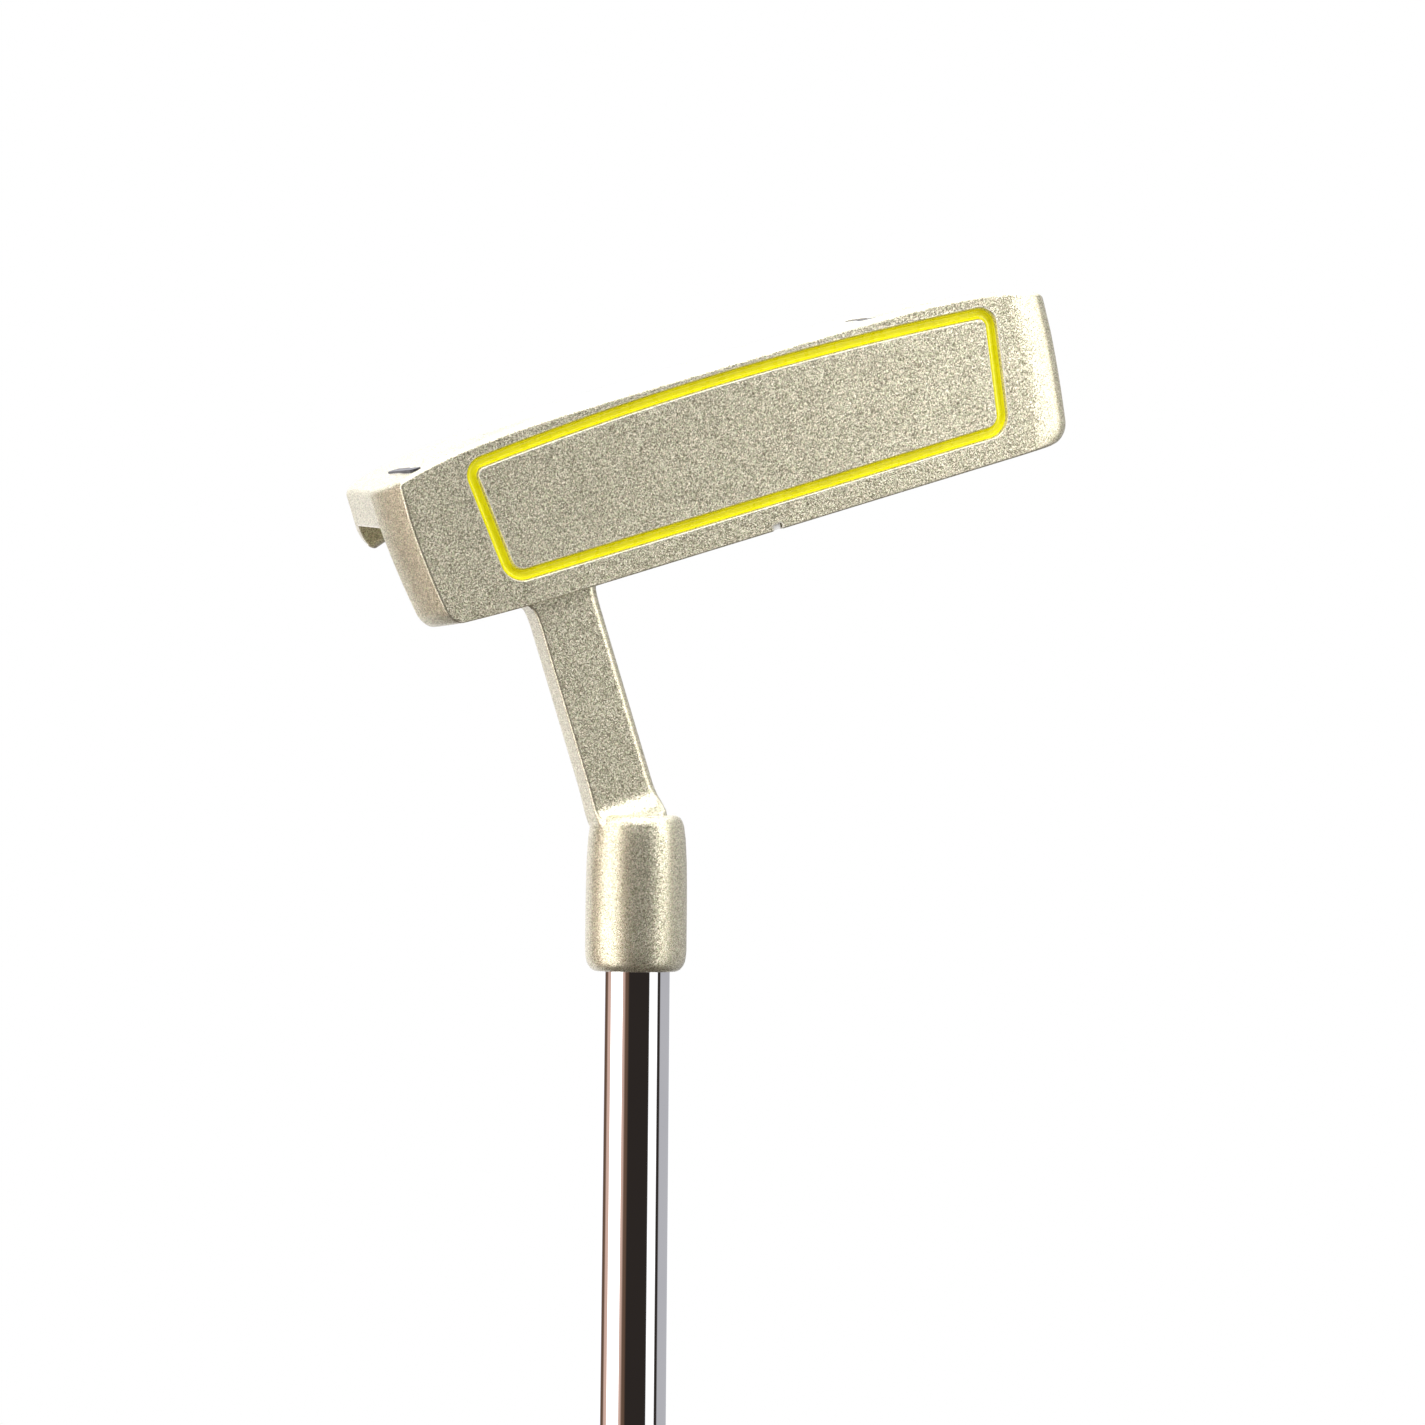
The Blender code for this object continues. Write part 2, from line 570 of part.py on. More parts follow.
def shaft():
    chrome = material("chrome_shaft", (0.80, 0.80, 0.82), 0.05, 1.0)
    tip = MOUTH_Z + BORE_DEEP - 1.0 * MM
    tube("shaft", SHAFT_BUTT_Z, tip, -WALL, 0, chrome)
    glue = material("epoxy", (0.55, 0.50, 0.36), 0.4)
    tube("hosel_epoxy", MOUTH_Z + 0.5 * MM, tip - 1.5 * MM, GAP + 0.02 * MM, GAP + 0.24 * MM, glue)
    plug_r = TIP_R - WALL - GAP
    plug = ((0, 0.5 * MM), (0, -6.5 * MM), (plug_r, -6.5 * MM), (plug_r, 0.5 * MM))
    lathe("shaft_tip_plug", plug, material("plug_plastic", (0.35, 0.35, 0.36), 0.5), tip)


def grip_section(flat, wide, reach):
    """Flat on the toe side, with rounded corners and a round back."""
    outline = d_section(wide, -flat, reach, 2.6 * MM)
    return [(-y, x) for x, y in outline]


def grip():
    rubber = material("grip_rubber", (0.02, 0.02, 0.022), 0.75)
    rings = []
    for z, flat, wide, reach in GRIP_STATIONS:
        rings.append([(x, y, z) for x, y in grip_section(flat, wide, reach)])
    body = loft("grip", rings, rubber)
    offset = 2 * GAP + TAPE
    ends = (-10 * MM, GRIP_STATIONS[-1][0] + 10 * MM)
    core = [(0, ends[1]), (0, ends[0])]
    core += [(shaft_radius(z) + offset, z) for z in ends]
    boolean(body, cutter(lathe("grip_bore", core, None)), "DIFFERENCE")
    paper = material("grip_tape", (0.62, 0.56, 0.42), 0.9)
    tube("grip_tape", SHAFT_BUTT_Z + 3 * MM, 240 * MM, GAP, GAP + TAPE, paper)

    plastic = material("cap_plastic", (0.03, 0.03, 0.032), 0.45)
    z, flat, wide, reach = GRIP_STATIONS[0]
    rings = []
    for height, inset in ((0, 1.0 * MM), (1.0 * MM, 0), (CAP_THICK, 0)):
        section = grip_section(flat - inset, wide - 2 * inset, reach - inset)
        rings.append([(x, y, height) for x, y in section])
    cap = loft("grip_end_cap", rings, plastic)
    stem_r = BUTT_R - WALL - GAP
    top = CAP_THICK + CAP_STEM
    stem = ((0, top), (0, CAP_THICK - MM), (stem_r, CAP_THICK - MM), (stem_r, top - MM), (stem_r - MM, top))
    boolean(cap, cutter(lathe("cap_stem", stem, None)), "UNION")


def build():
    clear_scene()
    casting = head()
    face_groove(casting)
    marks(casting)
    shaft()
    grip()


build()
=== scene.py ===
"""Blade putter, held head up, in a white studio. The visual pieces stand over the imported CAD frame.

The frame is the club's own: the origin is the centre of the butt end, +Z runs up the shaft
to the head, -Y is the way the face looks and +X is the toe side.
"""
import math

import bmesh
import bpy
from mathutils import Matrix, Vector


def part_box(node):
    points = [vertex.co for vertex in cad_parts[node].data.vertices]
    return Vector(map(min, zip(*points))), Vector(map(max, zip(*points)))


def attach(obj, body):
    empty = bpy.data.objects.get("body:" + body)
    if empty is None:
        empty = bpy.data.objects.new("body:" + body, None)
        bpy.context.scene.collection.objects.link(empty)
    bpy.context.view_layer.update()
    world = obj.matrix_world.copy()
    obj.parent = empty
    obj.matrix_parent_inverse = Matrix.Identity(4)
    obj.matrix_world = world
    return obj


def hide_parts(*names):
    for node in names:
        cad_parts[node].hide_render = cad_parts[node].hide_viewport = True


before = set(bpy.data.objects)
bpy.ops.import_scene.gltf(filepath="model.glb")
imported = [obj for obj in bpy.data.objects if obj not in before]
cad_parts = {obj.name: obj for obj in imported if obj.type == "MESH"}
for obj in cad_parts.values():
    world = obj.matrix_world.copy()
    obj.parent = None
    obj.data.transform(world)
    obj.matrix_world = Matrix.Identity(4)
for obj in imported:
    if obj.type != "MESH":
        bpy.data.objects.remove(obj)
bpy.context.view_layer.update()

MM = 0.001

# ---------------------------------------------------------------- dimensions, as in the CAD
MOUTH_Z = 782 * MM
LEAN = math.radians(17)
LOFT = math.radians(3)
TOPLINE_Z = MOUTH_Z + 55.2 * MM
HEAD_HEIGHT = 24.4 * MM
FACE_Y = -4.2 * MM
MIDDLE = 16.0 * MM
HEEL = -31.3 * MM                    # the flat face runs from here to TOE
TOE = 61.85 * MM
TOE_REACH = 6.3 * MM
BLADE = 8.0 * MM
DEPTH = 24.6 * MM
HEEL_BULGE = 2.15 * MM               # the heel's end wall bows out this far behind the face
HEEL_BACK = -32.5 * MM               # ends of the flange, by the rim
TOE_BACK = 67.3 * MM
TOE_EASE = 17 * MM                   # the face eases into the toe on this radius, then this one
TOE_TURN = 2.5 * MM
TOE_BREAK = math.radians(15)
CREASE = 0.45 * MM                   # radius of the edge between the face and the heel's end
BACK_EDGE = 0.5 * MM                 # radius of the blade's back corners
SOLE_RISE = 2.5 * MM                 # the sole's camber lifts its ends by this much
HEEL_SPAN = (46.4 * MM, 4.7)         # reach and power of the camber towards the heel
TOE_SPAN = (50.0 * MM, 6.3)
FLOOR = 5.3 * MM
RIM = 9.0 * MM
RIM_WALL = 4.6 * MM
RIM_CORNER = 3.2 * MM
REAR_BOW = 1.2 * MM
REAR_CORNER = 4.0 * MM
HEEL_LEAN = 2.4 * MM
TOE_LEAN = 1.6 * MM
HEEL_CORNER = 3.0 * MM
TOE_CORNER = 2.8 * MM
TOP_DROP = 0.5 * MM
SOLE_EASE = 0.8 * MM                 # the ends also draw in this much towards the sole
EASE_HIGH = 4.5 * MM
SOLE_ROUND = 1.0 * MM
TOP_ROUND = 0.4 * MM
RIM_ROUND = 0.7 * MM
CHANNEL_ROUND = 0.9 * MM

GROOVE_WIDE = 1.65 * MM
GROOVE_FLOOR = 1.15 * MM
GROOVE_DEEP = 1.0 * MM
GROOVE_MID = 18.78 * MM
GROOVE_HALF = 40.2 * MM
GROOVE_LEAN = 0.13
GROOVE_TOP = 20.05 * MM
GROOVE_LOW = 1.95 * MM
GROOVE_CAMBER = 480 * MM
GROOVE_CORNERS = (1.9 * MM, 2.5 * MM)  # centre-line radii by the sole and by the topline
GROOVE_LIP = 0.14 * MM               # radius of the groove's edges
GROOVE_BEND = 0.35 * MM              # radius between its walls and its floor
COAT = 0.06 * MM                     # thickness of the yellow coat on the groove's walls
COAT_CLEAR = 0.004 * MM
CUT_CLEAR = 0.3 * MM                 # a cutter stands out of the surface by this much

SIGHT_X = 20.2 * MM
SIGHT_WIDE = 1.4 * MM
SIGHT_DEEP = 0.9 * MM
MARK_WIDE = 1.6 * MM
MARK_LONG = 11 * MM
HEEL_MARK = (-27.5 * MM, 8.5 * MM)
TOE_MARK = (43 * MM, 8.5 * MM)
FILL = 0.12 * MM                      # the enamel's surface lies this far below the metal
MENISCUS = 0.08 * MM                  # and it sinks this much more in its middle

NECK_LEAN = math.radians(18.2)
NECK_CROSS = 17.3 * MM
NECK_WIDE = 9.5 * MM
NECK_FRONT = -1.5 * MM
NECK_BACK = 6.6 * MM
NECK_TOE_CORNER = 1.5 * MM
SLEEVE_R = 7.0 * MM
SLEEVE_LONG = 21.6 * MM
SLEEVE_MOUTH = (
    # inset from the sleeve's radius and height over its mouth, in millimetres
    (1.7, 0), (1.2, 0.12), (0.8, 0.4), (0.45, 0.85), (0.2, 1.4), (0.07, 2.1), (0, 3.0),
)
SLEEVE_SHOULDER = (
    # inset, and height as a share of the sleeve's length
    (0, 0.4), (0.02, 0.55), (0.08, 0.70), (0.25, 0.84), (0.5, 0.93), (0.78, 0.965),
    (1.1, 0.985), (1.5, 0.996), (1.9, 1.0),
)
BORE_DEEP = 19.0 * MM
BORE_CLEAR = 0.75 * MM               # the bore is this much wider than the tip, all round

TIP_R = 4.70 * MM
SLOW_TAPER = 0.0017
SLOW_LONG = 170 * MM
BUTT_R = 7.35 * MM
WALL = 0.9 * MM
SHAFT_BUTT_Z = 4.2 * MM
BUTT_BREAK = 0.3 * MM                # the broken edges at the tube's two ends
TIP_BREAK = 0.4 * MM

CAP_THICK = 3.6 * MM
CAP_STEM = 10 * MM
GAP = 0.25 * MM
FLAT_X = 10.7 * MM
GRIP_CORNER = 2.6 * MM
GRIP_STATIONS = (
    # height, flat side, width, reach of the round back
    (CAP_THICK + GAP, FLAT_X - 0.8 * MM, 21.8 * MM, 13.6 * MM),
    (8 * MM, FLAT_X, 23.4 * MM, 14.8 * MM),
    (35 * MM, FLAT_X, 23.8 * MM, 15.8 * MM),
    (70 * MM, FLAT_X, 23.4 * MM, 15.4 * MM),
    (110 * MM, FLAT_X, 22.4 * MM, 13.2 * MM),
    (160 * MM, FLAT_X, 21.2 * MM, 11.6 * MM),
    (215 * MM, FLAT_X, 19.8 * MM, 10.6 * MM),
    (262 * MM, FLAT_X, 18.6 * MM, 9.8 * MM),
    (266 * MM, FLAT_X - 1.4 * MM, 15.8 * MM, 8.4 * MM),
)

HEAD_FRAME = Matrix((
    (math.cos(LEAN), math.sin(LEAN), 0, 0),
    (0, 0, 1, FACE_Y),
    (math.sin(LEAN), -math.cos(LEAN), 0, TOPLINE_Z),
    (0, 0, 0, 1),
)) @ Matrix.Translation((0, -HEAD_HEIGHT, 0))


# ---------------------------------------------------------------- node graphs
class Graph:
    """Builds a node tree: node(kind, settings, socket=value or output) returns the node."""

    def __init__(self, owner):
        owner.use_nodes = True
        self.tree = owner.node_tree

    def node(self, kind, settings=None, **sockets):
        made = self.tree.nodes.new(kind)
        for key, value in (settings or {}).items():
            setattr(made, key, value)
        for key, value in sockets.items():
            numbered = key[0] == "i" and key[1:].isdigit()
            self.feed(made.inputs[int(key[1:]) if numbered else key.replace("_", " ")], value)
        return made

    def feed(self, socket, value):
        if isinstance(value, bpy.types.NodeSocket):
            self.tree.links.new(value, socket)
        else:
            socket.default_value = value

    def maths(self, operation, a, b=0.0, clamp=False):
        settings = {"operation": operation, "use_clamp": clamp}
        made = self.node("ShaderNodeMath", settings, i0=a, i1=b)
        return made.outputs[0]

    def vector(self, operation, a, b=(0, 0, 0)):
        made = self.node("ShaderNodeVectorMath", {"operation": operation}, i0=a, i1=b)
        return made.outputs["Value" if operation == "DOT_PRODUCT" else "Vector"]

    def scaled(self, a, factor):
        made = self.node("ShaderNodeVectorMath", {"operation": "SCALE"}, i0=a, Scale=factor)
        return made.outputs["Vector"]

    def mix(self, factor, a, b, blend="MIX"):
        settings = {"data_type": "RGBA", "blend_type": blend}
        made = self.node("ShaderNodeMix", settings, i0=factor, i6=a, i7=b)
        return made.outputs[2]

    def ramp(self, factor, stops, mode="LINEAR"):
        made = self.node("ShaderNodeValToRGB", i0=factor)
        band = made.color_ramp
        band.interpolation = mode
        while len(band.elements) < len(stops):
            band.elements.new(0.5)
        for element, (place, colour) in zip(band.elements, stops):
            element.position = place
            element.color = (*colour, 1) if isinstance(colour, tuple) else (colour,) * 3 + (1,)
        return made.outputs["Color"]

    def spread(self, value, low, high, to_low=0.0, to_high=1.0, kind="LINEAR"):
        settings = {"interpolation_type": kind, "clamp": True}
        made = self.node("ShaderNodeMapRange", settings,
                         i0=value, i1=low, i2=high, i3=to_low, i4=to_high)
        return made.outputs[0]

    def noise(self, where, scale, detail=2.0, roughness=0.5):
        made = self.node("ShaderNodeTexNoise",
                         Vector=where, Scale=scale, Detail=detail, Roughness=roughness)
        return made.outputs["Fac"]

    def bump(self, height, strength, distance):
        made = self.node("ShaderNodeBump", Height=height, Strength=strength, Distance=distance)
        return made.outputs[0]

    def place(self, stretch=(1, 1, 1)):
        made = self.node("ShaderNodeTexCoord").outputs["Object"]
        if stretch == (1, 1, 1):
            return made
        return self.node("ShaderNodeMapping", Vector=made, Scale=stretch).outputs[0]


def finish_of(name, **sockets):
    """A material with its Principled shader's own sockets set, and its graph."""
    mat = bpy.data.materials.new(name)
    graph = Graph(mat)
    shader = graph.tree.nodes["Principled BSDF"]
    for key, value in sockets.items():
        graph.feed(shader.inputs[key.replace("_", " ")], value)
    return mat, graph, shader.inputs


# ---------------------------------------------------------------- materials
FLAKE = 8000                         # large flakes per metre
FINE_FLAKE = 2.1 * FLAKE
FLAKE_SHARES = (0.55, 0.45)          # how much of the tone comes from the large and the fine flakes
FLAKE_TILTS = (0.16, 0.14)
FLAKE_ROUGH = (0.28, 0.43)
PAINT = (0.69, 0.625, 0.49)
FLAKE_TONES = ((0.18, (0.24, 0.22, 0.155)), (0.48, PAINT), (0.80, (1.0, 0.96, 0.82)))
FLAKE_TINTS = ((0.0, (0.90, 1.0, 0.78)), (0.5, (1.0, 1.0, 0.97)), (1.0, (1.04, 0.95, 0.88)))
# pale colour for worn paint and for the painted highlight along sharp convex edges
WEAR_AND_HIGHLIGHT = (1.0, 0.95, 0.86, 1)
WEAR_AND_HIGHLIGHT_REACH = 0.45 * MM               # worn thin paint and a painted highlight make the paint bright this near to a sharp edge


def flake_paint():
    """Champagne paint with metal flakes: every flake has its own tilt, tone and slight tint."""
    mat, graph, inputs = finish_of("champagne_flake_paint", Metallic=0.76, Coat_Weight=0.25,
                                   Coat_Roughness=0.12, Coat_IOR=1.5)
    where = graph.place()
    surface = graph.node("ShaderNodeNewGeometry").outputs
    lights, tilts, parts = [], [], []
    for scale, channel, share, tilt in zip((FLAKE, FINE_FLAKE), (0, 1), FLAKE_SHARES, FLAKE_TILTS):
        flakes = graph.node("ShaderNodeTexVoronoi", Vector=where, Scale=scale).outputs["Color"]
        parts.append(graph.node("ShaderNodeSeparateColor", Color=flakes).outputs)
        lights.append(graph.maths("MULTIPLY", parts[-1][channel], share))
        tilts.append(graph.scaled(graph.vector("SUBTRACT", flakes, (0.5, 0.5, 0.5)), tilt))
    tone = graph.ramp(graph.maths("ADD", *lights), FLAKE_TONES)
    colour = graph.mix(1.0, tone, graph.ramp(parts[0][2], FLAKE_TINTS), "MULTIPLY")
    cloud = graph.spread(graph.noise(where, 60.0), 0.3, 0.7, 0.96, 1.03)
    colour = graph.scaled(colour, cloud)

    # Worn paint and a painted highlight: sharp convex edges turn, in patches, towards the pale
    # colour.
    eased = graph.node("ShaderNodeBevel", {"samples": 6}, Radius=WEAR_AND_HIGHLIGHT_REACH).outputs[0]
    sharp = graph.spread(graph.vector("DOT_PRODUCT", eased, surface["Normal"]), 0.995, 0.93)
    convex = graph.spread(surface["Pointiness"], 0.495, 0.51)
    patchy = graph.spread(graph.noise(where, 700.0), 0.25, 0.6, 0.35, 0.95)
    wear_and_highlight = graph.maths("MULTIPLY", graph.maths("MULTIPLY", sharp, convex), patchy)

    graph.feed(inputs["Base Color"], graph.mix(wear_and_highlight, colour, WEAR_AND_HIGHLIGHT))
    graph.feed(inputs["Roughness"], graph.spread(parts[1][0], 0.0, 1.0, *FLAKE_ROUGH))
    normal = graph.vector("ADD", surface["Normal"], graph.vector("ADD", *tilts))
    graph.feed(inputs["Normal"], graph.vector("NORMALIZE", normal))
    peel = graph.noise(where, 500.0, 3.0)
    graph.feed(inputs["Coat Normal"], graph.bump(peel, 0.12, 0.03 * MM))
    return mat


def enamel(name, colour, deep, roughness=0.28):
    """Brushed-in enamel: a little thicker and darker in places, with faint brush marks."""
    mat, graph, inputs = finish_of(name, Metallic=0.0, Coat_Weight=0.3, Coat_Roughness=0.1)
    where = graph.place()
    cloud = graph.spread(graph.noise(where, 350.0, 4.0), 0.3, 0.75)
    speck = graph.spread(graph.noise(where, 5200.0, 1.0), 0.66, 0.74, 0.0, 0.25)
    mixed = graph.mix(cloud, colour, deep)
    graph.feed(inputs["Base Color"], graph.mix(speck, mixed, deep))
    brushed = graph.noise(where, 900.0)
    rough = graph.spread(brushed, 0.3, 0.7, roughness - 0.06, roughness + 0.1)
    graph.feed(inputs["Roughness"], rough)
    graph.feed(inputs["Normal"], graph.bump(graph.noise(where, 1400.0, 3.0), 0.25, 0.04 * MM))
    return mat


def chrome():
    """Plated tube: nearly a mirror, with hairlines round it and a few faint wipe marks along it."""
    mat, graph, inputs = finish_of("bright_chrome", Metallic=1.0)
    along = graph.place((1, 1, 0.03))
    wipe = graph.spread(graph.noise(along, 900.0, 3.0), 0.45, 0.75, 0.0, 1.0)
    haze = graph.spread(graph.noise(graph.place(), 45.0, 3.0), 0.45, 0.7, 0.0, 1.0)
    marks = graph.maths("MULTIPLY", graph.maths("ADD", wipe, haze), 0.015)
    graph.feed(inputs["Roughness"], graph.maths("ADD", marks, 0.025))
    plate = graph.mix(haze, (0.93, 0.93, 0.94, 1), (0.88, 0.88, 0.90, 1))
    graph.feed(inputs["Base Color"], plate)
    around = graph.place((1, 1, 60))
    graph.feed(inputs["Normal"], graph.bump(graph.noise(around, 120.0), 0.03, 0.01 * MM))
    return mat


def rubber():
    """Moulded grip rubber: pebbled, slightly grey where it is handled."""
    mat, graph, inputs = finish_of("grip_rubber_black", Metallic=0.0, Specular_IOR_Level=0.35)
    where = graph.place()
    pebble = graph.node("ShaderNodeTexVoronoi", Vector=where, Scale=2600.0).outputs["Distance"]
    handled = graph.spread(graph.noise(where, 35.0, 4.0), 0.45, 0.75)
    colour = graph.mix(handled, (0.014, 0.014, 0.015, 1), (0.034, 0.033, 0.032, 1))
    graph.feed(inputs["Base Color"], colour)
    rough = graph.maths("ADD", graph.maths("MULTIPLY", handled, -0.14), 0.78)
    rough = graph.maths("ADD", rough, graph.maths("MULTIPLY", pebble, 0.12))
    graph.feed(inputs["Roughness"], rough)
    height = graph.maths("ADD", pebble, graph.noise(where, 3800.0))
    graph.feed(inputs["Normal"], graph.bump(height, 0.35, 0.08 * MM))
    return mat


def moulded(name, colour, scratch, roughness):
    """Hard moulded plastic with a fine grain and scuffs."""
    mat, graph, inputs = finish_of(name, Metallic=0.0)
    where = graph.place()
    scuff = graph.spread(graph.noise(graph.place((1, 5, 1)), 500.0, 5.0), 0.58, 0.68)
    graph.feed(inputs["Base Color"], graph.mix(scuff, colour, scratch))
    uneven = graph.noise(where, 260.0, 3.0)
    rough = graph.spread(uneven, 0.3, 0.7, roughness - 0.08, roughness + 0.12)
    graph.feed(inputs["Roughness"], rough)
    graph.feed(inputs["Normal"], graph.bump(graph.noise(where, 4200.0), 0.2, 0.04 * MM))
    return mat


def glue():
    """Cured epoxy: amber, with small bubbles."""
    mat, graph, inputs = finish_of("amber_epoxy", Metallic=0.0, Transmission_Weight=0.25, IOR=1.5)
    where = graph.place()
    bubbles = graph.node("ShaderNodeTexVoronoi", Vector=where, Scale=2200.0).outputs["Distance"]
    spot = graph.spread(bubbles, 0.1, 0.3)
    graph.feed(inputs["Base Color"], graph.mix(spot, (0.62, 0.50, 0.27, 1), (0.42, 0.33, 0.18, 1)))
    graph.feed(inputs["Roughness"], graph.spread(graph.noise(where, 700.0), 0.3, 0.7, 0.18, 0.4))
    graph.feed(inputs["Normal"], graph.bump(bubbles, 0.3, 0.05 * MM))
    return mat


def masking_paper():
    """Creped tape paper: fine wrinkles across the strip, and a mottled tan colour."""
    mat, graph, inputs = finish_of("creped_tape", Metallic=0.0)
    crepe = graph.noise(graph.place((0.3, 0.3, 1)), 2200.0, 3.0)
    blotch = graph.spread(graph.noise(graph.place(), 120.0, 4.0), 0.3, 0.7)
    colour = graph.mix(blotch, (0.66, 0.55, 0.35, 1), (0.55, 0.45, 0.28, 1))
    graph.feed(inputs["Base Color"], colour)
    graph.feed(inputs["Roughness"], graph.spread(crepe, 0.3, 0.7, 0.75, 0.95))
    graph.feed(inputs["Normal"], graph.bump(crepe, 0.6, 0.1 * MM))
    return mat


# ---------------------------------------------------------------- mesh tools
def placed(name, data):
    obj = bpy.data.objects.new(name, data)
    bpy.context.scene.collection.objects.link(obj)
    return obj


def skin(bm, rings, ends="open"):
    """Joins each ring of points to the next. The two ends stay open, are filled or meet."""
    following = rings[1:] + rings[:1] if ends == "meet" else rings[1:]
    for low, high in zip(rings, following):
        for i in range(len(low)):
            j = (i + 1) % len(low)
            corners = list(dict.fromkeys((low[i], low[j], high[j], high[i])))
            if len(corners) > 2:
                bm.faces.new(corners)
    if ends == "filled":
        bm.faces.new(rings[0])
        bm.faces.new(rings[-1])


def piece(name, bm, mat, matrix=None, smooth=35):
    """An object of this mesh in the club's frame, with its faces turned outwards."""
    bmesh.ops.remove_doubles(bm, verts=bm.verts, dist=1e-7)
    bmesh.ops.recalc_face_normals(bm, faces=bm.faces)
    if matrix:
        bm.transform(matrix)
    mesh = bpy.data.meshes.new(name)
    bm.to_mesh(mesh)
    bm.free()
    mesh.shade_smooth()
    mesh.set_sharp_from_angle(angle=math.radians(smooth))
    obj = placed(name, mesh)
    if mat:
        mesh.materials.append(mat)
    return obj


def boolean(obj, other, operation):
    """Applies an exact boolean to obj, and removes the other solid."""
    mod = obj.modifiers.new(other.name, "BOOLEAN")
    mod.object = other
    mod.operation = operation
    mod.solver = "EXACT"
    settle(obj)
    bpy.data.objects.remove(other, do_unlink=True)


def settle(obj):
    """Applies every modifier of obj."""
    graph = bpy.context.evaluated_depsgraph_get()
    made = bpy.data.meshes.new_from_object(obj.evaluated_get(graph))
    old = obj.data
    obj.modifiers.clear()
    obj.data = made
    bpy.data.meshes.remove(old)


def even_shading(obj, angle=35):
    """Large faces keep their own normal, so only the rounded edges turn the light."""
    obj.data.shade_smooth()
    obj.data.set_sharp_from_angle(angle=math.radians(angle))
    mod = obj.modifiers.new("even", "WEIGHTED_NORMAL")
    mod.keep_sharp = True
    mod.weight = 50


def full_turn(sides):
    return [2 * math.pi * i / sides for i in range(sides)]


def lathe(name, profile, mat, z=0.0, sides=96):
    """Turns a closed (radius, height) outline about the Z axis; points at radius 0 become poles."""
    bm = bmesh.new()
    rings = []
    for radius, height in profile:
        if radius == 0:
            rings.append([bm.verts.new((0, 0, height))] * sides)
            continue
        rings.append([bm.verts.new((radius * math.cos(a), radius * math.sin(a), height))
                      for a in full_turn(sides)])
    skin(bm, rings, "meet")
    return piece(name, bm, mat, Matrix.Translation((0, 0, z)))


def loft(name, rings, mat, matrix=None, ends="filled", smooth=35):
    """A solid through closed rings of points."""
    bm = bmesh.new()
    skin(bm, [[bm.verts.new(point) for point in ring] for ring in rings], ends)
    return piece(name, bm, mat, matrix, smooth)


def arc(centre, radius, start, end, steps):
    turn = [math.radians(start + (end - start) * i / steps) for i in range(steps + 1)]
    return [(centre[0] + radius * math.cos(a), centre[1] + radius * math.sin(a)) for a in turn]


# ---------------------------------------------------------------- head
def sole(x):
    """Height of the cambered sole over its lowest line."""
    span, power = HEEL_SPAN if x < MIDDLE else TOE_SPAN
    return SOLE_RISE * (abs(x - MIDDLE) / span) ** power


def topline(x):
    heelward = max(0.0, (-14 * MM - x) / (18 * MM))
    return HEAD_HEIGHT - TOP_DROP * heelward * heelward


def half_length(x):
    return MIDDLE - HEEL + HEEL_BULGE if x < MIDDLE else TOE - MIDDLE + TOE_REACH


def end_inset(y, lean, corner):
    """How far an end has moved in at this height: a slow lean, then the upper corner's arc."""
    rise = max(0.0, y - 0.25 * HEAD_HEIGHT) / (0.75 * HEAD_HEIGHT)
    into = min(1.0, max(0.0, y - HEAD_HEIGHT + corner) / corner)
    low = max(0.0, 1 - y / EASE_HIGH)
    return lean * rise ** 1.6 + corner * (1 - math.sqrt(1 - into * into)) + SOLE_EASE * low * low


def head_point(x, z, y):
    """Moves the ends in towards the topline, and leans the face back by the loft."""
    heelward = x < MIDDLE
    inset = end_inset(y, HEEL_LEAN, HEEL_CORNER) if heelward else end_inset(y, TOE_LEAN, TOE_CORNER)
    x = MIDDLE + (x - MIDDLE) * (1 - inset / half_length(x))
    z += y * math.tan(LOFT) * max(0.0, 1 - z / BLADE)
    return x, y, z


def heel_wall(z):
    return HEEL - HEEL_BULGE * (1 - (1 - z / BLADE) ** 1.5)


def heel_end(edge, steps):
    """Plan line from the blade's back corner round to the face, at the heel."""
    bend = math.atan2(BLADE, 1.5 * HEEL_BULGE)
    low = CREASE * (1 - math.cos(bend))
    points = [(heel_wall(BLADE), BLADE)]
    if edge:
        points = [(heel_wall(BLADE) + edge * (1 - math.cos(a)), BLADE - edge * (1 - math.sin(a)))
                  for a in (math.radians(45), math.radians(22))]
    high = BLADE - (edge or 0.3 * MM)
    points += [(heel_wall(z), z) for z in (high + (low - high) * i / steps for i in range(steps))]
    middle = HEEL + CREASE * math.tan(bend / 2)
    turn = [bend * (1 - i / 6) for i in range(7)]
    points += [(middle - CREASE * math.sin(a), CREASE - CREASE * math.cos(a)) for a in turn]
    return points if edge else [points[0]] + points


def toe_end(edge, steps):
    """Plan line from the face round to the blade's back corner, at the toe."""
    turn = [TOE_BREAK * i / steps for i in range(steps + 1)]
    points = [(TOE + TOE_EASE * math.sin(a), TOE_EASE * (1 - math.cos(a))) for a in turn]
    x, z = points[-1]
    centre = (x - TOE_TURN * math.sin(TOE_BREAK), z + TOE_TURN * math.cos(TOE_BREAK))
    turn = [TOE_BREAK + (math.pi / 2 - TOE_BREAK) * i / steps for i in range(1, steps + 1)]
    points += [(centre[0] + TOE_TURN * math.sin(a), centre[1] - TOE_TURN * math.cos(a))
               for a in turn]
    tip = points[-1][0]
    high = BLADE - (edge or 0.3 * MM)
    points += [(tip, points[-1][1] * (1 - i / 3) + high * i / 3) for i in range(1, 4)]
    if edge:
        return points + [(tip - edge * (1 - math.cos(a)), BLADE - edge * (1 - math.sin(a)))
                         for a in (math.radians(22), math.radians(45))]
    return points + [(tip, BLADE)] * 2


